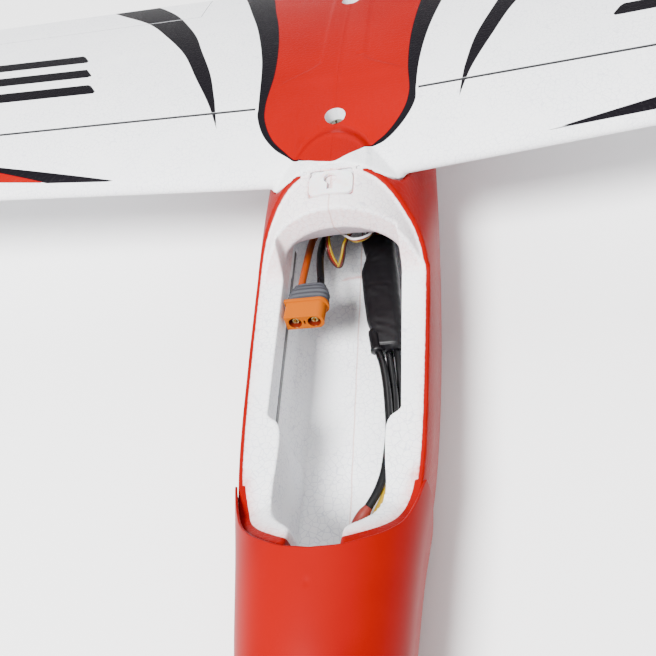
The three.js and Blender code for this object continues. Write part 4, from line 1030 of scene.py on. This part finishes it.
fuselage = skin("fuselage", NOSE_FOAM, FUSELAGE_END)
cut(fuselage, seat_cutter(), bay_cutter(), tunnel_cutter(),
    rod("motor_room", (0, NOSE_FOAM - 2, THRUST_Z), (0, -228, THRUST_Z), 17.5),
    box("lead_way", -16, 16, -240, -188, -70, -38), saddle_cutter(),
    box("plate_room", -14.4, 14.4, -14.4, 126.4, -32.4, 0),
    box("stab_slot", -30, 30, 451, 549.4, -38.85, -31.15),
    box("joiner_slot", -30, 30, 549, 558, -39.2, -30.8),
    box("elevator_well", -1.7, 18.3, 410.5, 440.5, -40, -30),
    box("elevator_slot", 17.8, 22, 419.5, 440.5, -40, -30.6),
    box("rudder_well", -5, 5, 368.5, 398.5, -40.7, -20.7),
    box("rudder_slot", -5, 4.4, 377.5, 398.5, -21.2, -17),
    cut(box("plate_seat", -10.05, 10.05, -49.95, -36.05, -12, ABOVE),
        skin("seat_floor", -70, -20, -4.9)),
    box("groove_right", -28.55, -20, -143.4, -39.6, -47.8, -44.2),
    box("groove_left", 20, 28.55, -143.4, -39.6, -47.8, -44.2))
for y, _ in SCREWS.values():
    cut(fuselage, rod("shank_room", (0, y, -60), (0, y, 0), 3.2, 32))
soften(fuselage, 0.85, 3, 0.5)

COWL_EDGE = np.array([(0, -202.8), (10, -201.5), (17, -198.8), (24, -194.8), (29.5, -189.3),
                      (33.2, -181.4), (35.2, -175), (36.4, -169.6)])
edge_line = spline(COWL_EDGE)
LATCH_OUTLINE = rounded(9.7, 6.6, 0.42, 72) + [0, -43]

# Where the foam is painted (by its depth below the skin and beside the cowl), where
# overspray lies on the white, and where the tunnel's ceiling gets painted shade.
p = points_of(fuselage)
x, y, z = p.T
plan = np.column_stack([np.abs(x), y])
under_cowl = y < np.interp(plan[:, 0], COWL_EDGE[:, 0], COWL_EDGE[:, 1])
from_cowl = np.where(under_cowl, 0.0, line_distance(plan, edge_line))
above_rail = smoothstep(RAIL_Z - 7, RAIL_Z - 1, z)
depth = np.where(y < -203, 0.0, skin_depth(p))
depth = np.where((y > -38) & (y < -30) & (np.abs(x) < 13.5), 5.0, depth)
attribute(fuselage, "depth", depth)
front_solid = (1 - smoothstep(2.8, 5.2, from_cowl)) * above_rail
attribute(fuselage, "solid", front_solid * (y < -170) * (z > -40))
# Painted shade: where the tunnel's ceiling faces downwards, its colour is darkened.
down = smoothstep(-0.1, -0.45, vertex_data(fuselage, "normal")[:, 2])
attribute(fuselage, "ceiling", down * (y > -64) * (y < -36) * (depth > 1.5))
rim_spray = 0.34 * np.exp(-np.clip(depth - 1.4, 0, 50) / 1.3) * (y < -30) * (y > -205)
arch_spray = 0.30 * smoothstep(-74, -66, y) * (1 - smoothstep(-42, -30, y)) * (z > -40) * (depth > 4)
front_spray = 0.6 * (1 - smoothstep(2.5, 9.5, from_cowl)) * above_rail * (y < -160)
seat_line = np.abs(signed_distance(p[:, :2], LATCH_OUTLINE)) * (depth < 8) + 50 * (depth >= 8)
latch_spray = 0.5 * np.exp(-(seat_line / 0.8) ** 2)
attribute(fuselage, "spray", np.clip(rim_spray + arch_spray + front_spray + latch_spray, 0, 1))
finish(fuselage, body_paint, "airframe", "fuselage_left", "fuselage_right", slot="foam")

# ------------------------ latch plate

latch = cut(skin("latch", -60, -30, -LIP_DEPTH - 0.1, 1.5, 288),
            skin("latch_under", -61, -29, -LIP_DEPTH - 1.6, 1.5, 288))
common(latch, along_z("latch_outline", LATCH_OUTLINE, -12, ABOVE))
keyhole = join(rod("key_round", (0, -40.8, -12), (0, -40.8, 6), 3.0, 48),
               box("key_slot", -1.4, 1.4, -47.2, -40, -12, 6))
cut(latch, keyhole)
bevel(latch, 0.28, 2, 35)
latch_look = Look("latch_plastic", (0.80, 0.80, 0.83), 0.32, Subsurface_Weight=0.3,
                  Subsurface_Scale=0.002)
blush = latch_look.ramp(latch_look.noise(160.0, 3.0), 0.45, 0.75, 0.0, 0.35)
latch_look.color(latch_look.mix(blush, (0.84, 0.84, 0.86), (0.80, 0.42, 0.38)))
finish(latch, latch_look, "airframe", "latch_plate", slot="white_plastic")
magnet = rod("latch_magnet", (0, -40.8, -5.2), (0, -40.8, -3.4), 2.7, 48,
             [(0.0, 2.7), (0.8, 2.7), (1.0, 2.4)])
finish(magnet, plastic("magnet_pink", (0.66, 0.34, 0.30), 0.3, 700.0, 0.2, 0.0001), "airframe")

# ------------------------ nose cowl

COWL_SKIN, COWL_FRONT = 1.3, -293.0
COWL_INSIDE, COWL_INSIDE_FRONT = 0.3, -291.6
COWL_SIDE_END = -169.6
angles = around(360)


def cowl_ends():
    """The y at which the cowl ends, for each angle: along its edge above the rail, and on a
    slant below it."""
    cx, sz = rounded_section(angles)
    end = np.full(len(angles), COWL_SIDE_END)
    for _ in range(12):
        width, top, mid, bottom = station_at(end)
        height = np.where(np.sin(angles) > 0, top - mid, mid - bottom) + COWL_SKIN
        z = mid + sz * height
        over = np.interp(np.abs(cx) * (width + COWL_SKIN), edge_line[:, 0], edge_line[:, 1])
        under = COWL_SIDE_END + (z - RAIL_Z) * (29.4 / 63)
        end = 0.5 * end + 0.5 * np.where(z > RAIL_Z, over, under)
    kernel = np.hanning(7) / np.hanning(7).sum()
    return np.convolve(np.concatenate([end[-3:], end, end[:3]]), kernel, mode="valid")


def cowl_surface(grow, front):
    share = np.concatenate([np.linspace(0, 0.96, 90), np.linspace(0.97, 1, 10)])
    columns = [skin_points(front + share * (stop - front), np.array([angle]), grow)[:, 0]
               for angle, stop in zip(angles, cowl_ends())]
    return np.stack(columns, axis=1)


def front_rows(ring, y, rows):
    """Rings inside a front ring, from (radius, or share of its radius, and step in y) rows."""
    flat = ring - [0, ring[0, 1], THRUST_Z]
    length = np.hypot(flat[:, 0], flat[:, 2])[:, None]
    return [[0, y + dy, THRUST_Z] + flat * [1, 0, 1] / length * (r * length if r < 2 else r)
            for r, dy in rows]


outer = cowl_surface(COWL_SKIN, COWL_FRONT)
inner = cowl_surface(COWL_INSIDE, COWL_INSIDE_FRONT)
lip_rows = []
for turn in math.pi * np.arange(1, 6) / 6:
    t = (1 - math.cos(turn)) / 2
    lip_rows.append(outer[-1] * (1 - t) + inner[-1] * t + np.array([0, 0.42, 0]) * math.sin(turn))
nose_out = front_rows(outer[0], COWL_FRONT, [
    (12.0, 0.6), (12.4, 0.15), (0.86, 0.0), (0.965, 0.0), (0.99, 0.25)])
nose_in = front_rows(inner[0], COWL_INSIDE_FRONT, [(0.96, 0.0), (0.8, 0.0), (12.0, 0.0)])
outer[0, :, 1] += 0.8
cowl = loft("nose_cowl_shell", np.concatenate([nose_out, outer, lip_rows, inner[::-1], nose_in]),
            hollow=True)
p = points_of(cowl)
pit = np.hypot(p[:, 0] + 0.2, p[:, 1] + 213.8)
p[:, 2] -= 0.30 * np.exp(-(pit / 0.8) ** 2) * (p[:, 2] > -30)
set_points(cowl, p)
finish(cowl, cowl_look, "airframe", "nose_cowl", slot="red_paint")

# ------------------------ hatch, on its back

HATCH_PIVOT = np.array([105.0, 0.0, (BELLY + 2.9) / 2])


def turned_over(obj):
    return set_points(obj, (points_of(obj) - HATCH_PIVOT) * [-1, 1, -1] + HATCH_PIVOT)


seat = seat_cutter()
set_points(seat, points_of(seat) + [0, -0.3, 0.8])
hatch = common(skin("hatch", -203, -33), seat, box("ends", -60, 60, -201.4, -35, -60, 60))
hollow = common(skin("hollow", -190, -64, -4.5), box("hollow_box", -60, 60, -190, -64, -60, ABOVE))
cut(hatch, hollow)
soften(hatch, 0.9, 3, 0.5)
p = points_of(hatch)
attribute(hatch, "depth", np.minimum(skin_depth(p), 50) + 3 * (p[:, 2] < RAIL_Z + 0.5))
attribute(hatch, "solid", np.zeros(len(p)))
attribute(hatch, "spray", 0.4 * np.exp(-np.clip(skin_depth(p) - 1.5, 0, 50) / 2))
finish(turned_over(hatch), body_paint, "canopy", "canopy_hatch", slot="red_paint")

t = around(160)


def glazing_ring(scale, lift):
    x, y = 24 * scale * np.cos(t), -112 + 48 * scale * np.sin(t)
    return np.column_stack([x, y, skin_top(x, y) + lift])


rings = [glazing_ring(scale, 1.25 if scale < 0.985 else 0.9) for scale in np.linspace(0.05, 1.0, 40)]
rings += [glazing_ring(scale, 0.4) for scale in np.linspace(1.0, 0.05, 8)]
window = turned_over(loft("canopy_glazing", rings))
finish(window, gloss_black, "canopy", "canopy_window", slot="canopy_black")

# ------------------------ wing

# Outlines (x, y) of the artwork on the wing's middle, from above: the red field's edge (INK),
# the outer edge of the charcoal line round it (EDGE), and the two sides of the claws.
LEFT_INK = [(-46.9, 133.4), (-42.5, 112), (-37.5, 89.1), (-33.6, 62), (-32.3, 35.1), (-34.2, 10.0),
            (-33.6, 1.1), (-29.2, -11.0), (-21.1, -20.4)]
LEFT_EDGE = [(-65.7, 140.4), (-56.5, 112), (-48.3, 84.9), (-40.4, 46.9), (-37.7, 10.6), (-37.6, 4.3),
             (-34.0, -7.8), (-27.9, -16.4), (-21.1, -21.6), (-16, -26.2)]
RIGHT_EDGE = [(16.7, -20.9), (23.2, -18.5), (31.7, -10.0), (37.4, 1.3), (38.0, 9.8), (39.6, 29.1),
              (43.8, 56.7), (51.0, 88.7), (58.5, 116), (65.7, 140.4)]
RIGHT_INK = [(16.2, -20.4), (24.2, -14.6), (31.8, -3.3), (34.6, 7.3), (34.2, 27.5), (35.2, 54.0),
             (39.9, 94.6), (46.9, 133.4)]
FRONT_INK = [(-12.1, -28.3), (-4.2, -32.3), (2.3, -33.0), (6.4, -29.8), (10.4, -26.3)]
CLAW_OUT = [(158, 152), (144.3, 138.3), (119.1, 115.3), (102, 92), (86.0, 66.8), (74, 40), (63, 15.5),
            (56.9, -2.0)]
CLAW_IN = [(60.3, 17.6), (66.4, 41.4), (76.9, 69.5), (83.5, 87), (92.4, 104.4), (104, 124),
           (117.2, 140.6), (128, 152)]


red_shape = np.vstack([[(-56, 160)], spline([(-53, 152)] + LEFT_INK), spline(FRONT_INK),
                       spline(RIGHT_INK + [(53, 152)]), [(56, 160)]])
edge_shape = np.vstack([[(-76, 160)], spline([(-71, 152)] + LEFT_EDGE), spline(FRONT_INK),
                        spline(RIGHT_EDGE + [(71, 152)]), [(76, 160)]])
claw = np.vstack([[(166, 160)], spline(CLAW_OUT), spline(CLAW_IN), [(136, 160)]])
spear_left = [(-103.6, -24.0), (-134.7, -17.8), (-167.5, -11.2), (-260, 6), (-430, 26), (-330, 8),
              (-260, -1), (-175, -12.5), (-142, -21.5)]
spear_left_red = [(-142, -21.3), (-175, -12), (-260, -1), (-330, 8), (-300, -4), (-240, -11),
                  (-175, -18.3)]
spear_right = [(92.9, -24.7), (137.4, -17.6), (260, 2), (430, 24), (330, 0), (220, -13),
               (136.8, -22.5), (114.6, -23.6)]
bars = [[(127 + 7 * k, 36 + 17 * k), (262 - 10 * k, 36 + 17 * k), (268 - 10 * k, 45 + 17 * k),
         (133 + 7 * k, 45 + 17 * k)] for k in range(3)]
tip_band = [(560, -60), (572, -60), (604, 200), (592, 200)]
tip_red = [(578, -60), (720, -60), (720, 200), (610, 200)]


def artwork(obj):
    """Distances from the printed artwork: black at the edges, and red inside; and a mask for the
    painted shade in the spar slot.
    """
    q = points_of(obj)
    x, y, z = q.T
    xy, side = q[:, :2], np.column_stack([np.abs(x), y])
    under = wing_z(x, y, 1) - z > 3.0 + 4.0 * (np.abs(x) < 50)
    hidden = under & ~((y < chord_le(x) + 6) & (np.abs(x) > 80))
    black = np.min([signed_distance(xy, edge_shape), signed_distance(xy, spear_left),
                    signed_distance(xy, spear_right),
                    *(signed_distance(side, shape) for shape in (claw, tip_band, *bars))], axis=0)
    red = np.min([signed_distance(xy, red_shape), signed_distance(xy, spear_left_red),
                  signed_distance(side, tip_red)], axis=0)
    below = wing_z(x, y, 1, EDGE_SOFT) - z
    # Painted shade: a mask of the spar slot's walls, which the material colours near black.
    in_slot = (np.abs(y - 9.6) < 0.95) & (below > 0.8) & (below < 3.0)
    attribute(obj, "groove_shade", in_slot & (side[:, 0] > 38) & (side[:, 0] < 621))
    attribute(obj, "black", np.where(hidden, 20.0, black))
    attribute(obj, "red", np.where(hidden, 20.0, red))


def relief_height(x, y):
    """Shallow moulded shapes on top of the wing's middle."""
    r = np.hypot(x, y + 29.5)
    ridge = 0.55 * np.exp(-((r - 16.0) / 1.9) ** 2) - 0.75 * np.exp(-((r - 21.5) / 3.4) ** 2)
    ridge = ridge * (1 - smoothstep(14.5, 20, np.abs(x)))
    half = 11.0 + 20 * smoothstep(44, 22, y)
    plateau = 0.45 * (1 - smoothstep(-1.3, 1.3, np.abs(x - 1.5) - half)) * smoothstep(20, 30, y)
    centre = 0.16 * np.exp(-(x / 0.8) ** 2) * smoothstep(6, 12, y)
    dimple = -0.5 * np.exp(-(np.hypot(x - 10.2, y - 45.5) / 1.2) ** 2)
    return ridge + plateau + centre + dimple


def wing_rings(xs, count=110):
    """Sections of the wing, whose ends draw in at the rounded tip."""
    steps = (1 - np.cos(np.linspace(0, math.pi, count + 1))) / 2
    rings = []
    for x in xs:
        le, te = chord_le(x), chord_te(x)
        y = le + steps * (te - le)
        squeezed = y + (1 - tip_shrink(x)) * (0.45 - steps) * 60
        xx = np.full(len(y), x)
        upper, lower = (np.column_stack([xx, squeezed, wing_z(xx, y, side, EDGE_SOFT)])
                        for side in (1, -1))
        rings.append(np.vstack([upper, lower[1:][::-1]]))
    return rings


def wing_point(x, y, side=1):
    return float(wing_z(np.array([x]), np.array([y]), side)[0])


def hinge_line(x):
    """The aileron hinge's y and z at x."""
    ys = [chord_te(at) - AILERON_CHORD for at in (AILERON_IN, AILERON_OUT)]
    inner, outer = (np.array([y, wing_point(at, y)]) for at, y in zip((AILERON_IN, AILERON_OUT), ys))
    return inner + (outer - inner) * (x - AILERON_IN) / (AILERON_OUT - AILERON_IN)


def behind_hinge(x0, x1, opened, lean):
    """The space behind the aileron's hinge line, for cutting it out of the wing."""
    rings = []
    for x in (x0, x1):
        hy, hz = hinge_line(x)
        rings.append([(x, hy + dy, hz + dz) for dy, dz in (
            (opened, 12), (opened, 0.2), (opened + lean * 16, -16), (60, -16), (60, 12))])
    return loft("behind_hinge", rings, smooth=False)


def spar_slot():
    """The narrow slot along the wing's top that holds its spar."""
    rings = []
    for x in (39, 150, 300, 450, 620):
        z = wing_point(x, 9.6)
        rings.append([(x, 8.8, z - 1.6), (x, 10.4, z - 1.6), (x, 10.4, z + 3), (x, 8.8, z + 3)])
    return loft("slot", rings, smooth=False)


def servo_room():
    """The well for the aileron servo, open underneath, in the hinge's own frame."""
    inner, outer = (np.array([x, *hinge_line(x)]) for x in (AILERON_IN, AILERON_OUT))
    x = (outer - inner) / np.linalg.norm(outer - inner)
    origin = inner + x * (215 - AILERON_IN) / x[0]
    x = -x
    y = np.array([0, 1, -0.05])
    y = y - x * y.dot(x)
    y /= np.linalg.norm(y)
    well = box("well", -21.7, -1.7, -79.5, -49.5, -5.0, 30.0)
    return set_points(well, points_of(well) @ np.array([x, y, np.cross(x, y)]) + origin)


# Where the wing's softened middle meets its outer panel, and the radius of the screws' wells.
SPLIT = 50.0
WELL_RADIUS = 4.9


def wing_middle(sign):
    """The middle of one wing, with the hump over the fuselage and the screws' wells."""
    core = loft("core", wing_rings(np.linspace(-4, 62, 45), 130))
    hump = common(skin("hump", -45, 30, 0.0, 2.0, 240),
                  box("hump_box", -3.9, 48, -45, 20, -30, ABOVE),
                  along_x("hump_outline", root_outline(20, 0), -4.1, 48, DIHEDRAL))
    soften(join(core, hump), 0.8, 5, 0.55)
    q = points_of(core)
    x, y, z = q.T
    soft_top = wing_z(x, y, 1, EDGE_SOFT)
    exact = np.where(z > soft_top - 1.2, soft_top, wing_z(x, y, -1, EDGE_SOFT))
    middle = (y > chord_le(x) + 4) & (y < chord_te(x) - 2)
    z += (exact - z) * smoothstep(40, 48, x) * middle * (np.abs(exact - z) < 0.8)
    skin_or_wing = np.maximum(wing_z(x, y, 1), np.where(y < 20, skin_top(x, y) - 1, -99))
    z += relief_height(sign * x, y) * smoothstep(-2.5, -1.0, z - skin_or_wing) * (x < 40)
    set_points(core, q)
    cut(core, box("split", SPLIT, 80, -60, 200, -60, 60),
        box("middle", -10, 0.02, -60, 200, -60, 60))
    recesses = [rod("recess", (0, y, top - 7.6), (0, y, top + 12), WELL_RADIUS, 72)
                for y, top in SCREWS.values()]
    holes = [rod("hole", (0, y, -60), (0, y, top), 2.75, 40) for y, top in SCREWS.values()]
    return cut(core, *recesses, *holes, spar_slot())


def wing_half(sign, name):
    """One wing panel without its aileron; sign is +1 to port and -1 to starboard."""
    core = wing_middle(sign)
    xs = np.concatenate([np.linspace(SPLIT, 110, 86), np.linspace(112, 260, 75),
                         np.linspace(266, 670, 68)[1:],
                         [676, 682, 687, 691, 694.5, 697, 698.7, HALF_SPAN]])
    panel = loft("panel", wing_rings(xs))
    cut(panel, behind_hinge(AILERON_IN, AILERON_OUT, -0.3, 0.0), servo_room(), spar_slot())
    return sharpen(handed(merge("wing_half", [core, panel]), sign, name), 38)


for side, sign in (("left", 1), ("right", -1)):
    wing = wing_half(sign, f"wing_{side}_panel" + ("_m" if sign < 0 else ""))
    artwork(wing)
    finish(wing, (wing_paint, foam), "airframe", "wing_" + side, slot="foam")
    q = points_of(wing)
    second_look(wing, np.any([np.hypot(q[:, 0], q[:, 1] - y) < WELL_RADIUS + 0.07
                              for y, _ in SCREWS.values()], axis=0))
    aileron = common(loft("aileron", wing_rings(np.linspace(80, 650, 96))),
                     behind_hinge(AILERON_IN + 0.5, AILERON_OUT - 0.5, 0.3, 0.7))
    sharpen(handed(aileron, sign, f"aileron_{side}_panel"), 38)
    artwork(aileron)
    finish(aileron, wing_paint, side + "_aileron", "aileron_" + side, slot="foam")

for name, (y, top) in SCREWS.items():
    head_top = top - 4.5
    head = rod(name + "_head", (0, y, head_top - 2.8), (0, y, head_top), 4.2, 64, [
        (0.0, 3.9), (0.05, 4.1), (0.45, 4.2), (0.78, 3.95), (0.94, 3.4), (1.0, 2.8)])
    join(head, rod("shank", (0, y, -36), (0, y, head_top - 1), 2.4, 40))
    for turn in (0.3, 0.3 + math.pi / 2):
        c, s = math.cos(turn), math.sin(turn)
        slot = box("slot", -2.5, 2.5, -0.5, 0.5, -1.5, 1)
        q = points_of(slot) @ [[c, s, 0], [-s, c, 0], [0, 0, 1]] + [0, y, head_top]
        cut(head, set_points(slot, q))
    finish(sharpen(head, 35), dark_steel, "airframe", name, slot="steel")

# ------------------------ tail

STAB_HALF, STAB_Z, STAB_LE, STAB_HINGE, STAB_TE = 208.0, -35.0, 455.0, 549.0, 590.0
FIN_Z0, FIN_Z1, FIN_ROOT, FIN_TIP, FIN_HINGE = -27.0, 118.0, 472.0, 548.0, 600.0


def fixed_section(le, hinge, thick, count=24):
    """Outline (y, height) of a fixed tail surface, with a round nose and a blunt hinge edge."""
    half = thick / 2
    nose = [(le + half * 1.6 * (1 + math.cos(v)), half * math.sin(v))
            for v in np.linspace(math.pi / 2, math.pi, count)]
    return [(hinge, half * 0.94), (hinge - 0.5, half), *nose, *[(y, -c) for y, c in nose[:-1][::-1]],
            (hinge - 0.5, -half), (hinge, -half * 0.94)]


def flap_section(hinge, te, thick):
    """Outline (y, height) of a hinged tail surface, with a bevelled front and a thin rear edge."""
    half = thick / 2
    front = hinge + 0.7
    lean = half * 0.8
    upper = [(front, 0), (front + lean * 0.9, half * 0.92), (front + lean * 1.2, half * 0.99)]
    upper += [(front + lean * 1.2 + (te - front - lean * 1.2) * t, half + (0.75 - half) * t)
              for t in np.linspace(0.08, 0.98, 8)]
    upper += [(te - 0.1, 0.5), (te, 0.15)]
    return upper + [(y, -c) for y, c in upper[1:][::-1]]


def tip_round(distance, reach):
    """Share of its thickness that a surface keeps at a distance from its tip."""
    t = np.clip(1 - distance / reach, 0, 1)
    return math.sqrt(max(1 - 0.9 * t * t, 0.02))


def corner(over, radius):
    """How far a rounded corner draws an edge in, where it has run past the corner's start."""
    t = max(0.0, over / radius)
    return radius * (1 - math.sqrt(max(1 - 0.96 * t * t, 0)))


def stab_le(x):
    return STAB_LE + 0.1 * abs(x) + corner(abs(x) - (STAB_HALF - 26), 26)


def stab_te(x):
    return STAB_TE - 0.02 * abs(x) - corner(abs(x) - (STAB_HALF - 16), 16)


def tail_art(obj, along_span, hinge_at):
    """A charcoal line and a red tip on a tail surface."""
    q = points_of(obj)
    at = along_span(q) - 0.28 * (q[:, 1] - hinge_at)
    attribute(obj, "black", np.abs(at) - 2.5)
    attribute(obj, "red", 6.0 - at)


half_xs = np.concatenate([np.linspace(0, 176, 30), np.linspace(180, STAB_HALF, 22)])
span_xs = np.concatenate([-half_xs[::-1][:-1], half_xs])
rings = []
for x in span_xs:
    thick = 7 * tip_round(STAB_HALF - abs(x), 8)
    rings.append([(x, y, STAB_Z + c) for y, c in fixed_section(stab_le(x), STAB_HINGE - 0.1, thick)])
stabilizer = sharpen(loft("tailplane", rings), 40)
tail_art(stabilizer, lambda q: np.abs(q[:, 0]) - 170, STAB_HINGE)
finish(stabilizer, wing_paint, "airframe", "stabilizer", slot="foam")
for side, sign in (("left", 1), ("right", -1)):
    xs = np.concatenate([np.linspace(18, 186, 24), np.linspace(190, STAB_HALF, 16)])
    rings = [[(sign * x, y, STAB_Z + c) for y, c in flap_section(
        STAB_HINGE, stab_te(x), 7 * tip_round(STAB_HALF - x, 8))] for x in xs]
    flap = sharpen(loft(f"elevator_{side}_panel", rings), 40)
    tail_art(flap, lambda q: np.abs(q[:, 0]) - 170, STAB_HINGE)
    finish(flap, wing_paint, "elevator", "elevator_" + side, slot="foam")


def fin_le(z):
    t = float(np.clip((z - FIN_Z0) / (FIN_Z1 - FIN_Z0), 0, 1))
    return FIN_ROOT + (FIN_TIP - FIN_ROOT) * (0.35 * t + 0.65 * t ** 1.5)


def rudder_te(z):
    return TAIL_END - corner(z - (FIN_Z1 - 20), 20) * 14 / 20 - corner(14 - 50 - z, 14)


zs = np.concatenate([np.linspace(-24, 108, 34), np.linspace(110, FIN_Z1, 10)])
fin = sharpen(loft("fin_panel", [[(c, y, z) for y, c in fixed_section(
    fin_le(z), FIN_HINGE - 0.1, 8 * tip_round(FIN_Z1 - z, 7))] for z in zs]), 40)
tail_art(fin, lambda q: q[:, 2] - 62, FIN_HINGE)
finish(fin, wing_paint, "airframe", "fin", slot="foam")
zs = np.concatenate([np.linspace(-50, -34, 14), np.linspace(-30, 94, 26),
                     np.linspace(97, FIN_Z1, 16)])
rudder = sharpen(loft("rudder_panel", [[(c, y, z) for y, c in flap_section(
    FIN_HINGE, rudder_te(z), 8 * tip_round(min(FIN_Z1 - z, z + 50), 6))] for z in zs]), 40)
tail_art(rudder, lambda q: q[:, 2] - 62, FIN_HINGE)
finish(rudder, wing_paint, "rudder", "rudder", slot="foam")

# ------------------------ spinner and propeller

SPINNER_REAR = -297.6
t = np.linspace(0, 1, 60) ** 0.7


def dome(radius, tip):
    """Half an outline of (radius, y) from the spinner's rear to its tip."""
    return [(max(radius * math.sqrt(max(1 - v ** 1.7, 0)), 0.02),
             SPINNER_REAR + v * (tip - SPINNER_REAR)) for v in t]


turn = around(96)
rings = [np.column_stack([r * np.cos(turn), np.full(96, y), THRUST_Z + r * np.sin(turn)])
         for r, y in dome(18.8, SPINNER_TIP + 2.5)[::-1] + dome(20.8, SPINNER_TIP)]
spinner = cut(loft("spinner_shell", rings),
              box("spinner_slots", -30, 30, -314, -290, THRUST_Z - 8.4, THRUST_Z + 8.4))
bevel(spinner, 0.3, 2, 50)
finish(spinner, cowl_look, "propeller", "spinner", slot="red_paint")

# Rows of reach from the pin, half chord, half thickness, twist and how far ahead it lies.
BLADE_SECTIONS = np.array([
    (0.5, 2.5, 2.3, 0, 0), (5, 2.5, 2.3, 0, 0.8), (9, 2.9, 2.3, 0.25, 3), (13, 4.6, 2.1, 0.5, 5),
    (22, 8.4, 1.8, 0.46, 6.2), (48, 10.5, 1.4, 0.36, 6.4), (82, 8.4, 1, 0.24, 6),
    (104, 5.4, 0.8, 0.18, 5.4), (112, 2.4, 0.6, 0.15, 5)])
PIN_X, PIN_Y = 15, -306


def blade(name):
    """A propeller blade to port, with the knuckle that its pin passes through."""
    dense = spline(BLADE_SECTIONS[:, [0, 1, 4]], 1.5)
    thick, twist = (np.interp(dense[:, 0], BLADE_SECTIONS[:, 0], BLADE_SECTIONS[:, k]) for k in (2, 3))
    a = around(48)
    rings = []
    for (r, chord, ahead), half, lean in zip(dense, thick, twist):
        turn = math.pi / 2 - lean
        u = chord * np.cos(a)
        w = half * np.sin(a) * (0.55 + 0.45 * np.cos(a / 2) ** 2 if r > 14 else 1.0)
        rings.append(np.column_stack([
            np.full(48, PIN_X + r), PIN_Y - ahead + u * math.cos(turn) - w * math.sin(turn),
            THRUST_Z + u * math.sin(turn) + w * math.cos(turn)]))
    obj = loft(name, rings)
    for change, radius, half, sides in ((join, 3.6, 2.6, 48), (cut, 1.8, 9, 32)):
        change(obj, rod("pin", (PIN_X, PIN_Y, THRUST_Z - half), (PIN_X, PIN_Y, THRUST_Z + half),
                        radius, sides))
    return sharpen(obj, 35)


left_blade = blade("blade_left_fine")
right_blade = blade("blade_right_fine")
set_points(right_blade, points_of(right_blade) * [-1, 1, -1] + [0, 0, 2 * THRUST_Z])
finish(left_blade, nylon_black, "blade_left", "propeller_blade_left", slot="canopy_black")
finish(right_blade, nylon_black, "blade_right", "propeller_blade_right", slot="canopy_black")

# ------------------------ CAD pieces that stay

KEPT = {
    "wing_spar_left": carbon, "wing_spar_right": carbon, "wing_joiner": carbon,
    "longeron_left": carbon, "longeron_right": carbon, "wing_nut_plate": ply,
    "elevator_joiner": steel, "motor_plate": alloy, "motor_can": alloy, "motor_shaft": steel,
    "propeller_hub": nylon_black, "blade_pin_left": steel, "blade_pin_right": steel,
    "receiver": charcoal_plastic}
for surface in ("left_aileron", "right_aileron", "elevator", "rudder"):
    KEPT[surface + "_horn"] = white_nylon
    KEPT[surface + "_servo"] = servo_blue
    KEPT[surface + "_servo_arm"] = white_nylon
    KEPT[surface + "_pushrod"] = steel
for name, look in KEPT.items():
    for material_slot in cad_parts[name].material_slots:
        material_slot.material = look.material

# ------------------------ floor and light

FLOOR_Z = -0.0002
floor_mesh = bpy.data.meshes.new("floor")
floor_mesh.from_pydata([(x, y, FLOOR_Z) for x, y in ((-4, -4), (4, -4), (4, 4), (-4, 4))], [],
                       [(0, 1, 2, 3)])
floor = new_object("floor", floor_mesh)
floor.data.materials.append(Look("paper", (0.93, 0.93, 0.93), 0.75).material)

world = bpy.data.worlds.new("studio")
bpy.context.scene.world = world
world.use_nodes = True
background = world.node_tree.nodes["Background"]
background.inputs["Color"].default_value = (1, 1, 1, 1)
background.inputs["Strength"].default_value = 0.68


def area_light(name, at, target, size, power):
    data = bpy.data.lights.new(name, "AREA")
    data.shape = "DISK"
    data.size = size
    data.energy = power
    light = bpy.data.objects.new(name, data)
    light.location = at
    light.rotation_euler = (Vector(target) - Vector(at)).to_track_quat("-Z", "Y").to_euler()
    bpy.context.scene.collection.objects.link(light)


area_light("key", (-0.62, -1.4, 2.1), (0, -0.2, 0.05), 0.8, 225)
area_light("back", (0.3, 1.3, 2.0), (0, -0.1, 0.05), 1.6, 30)
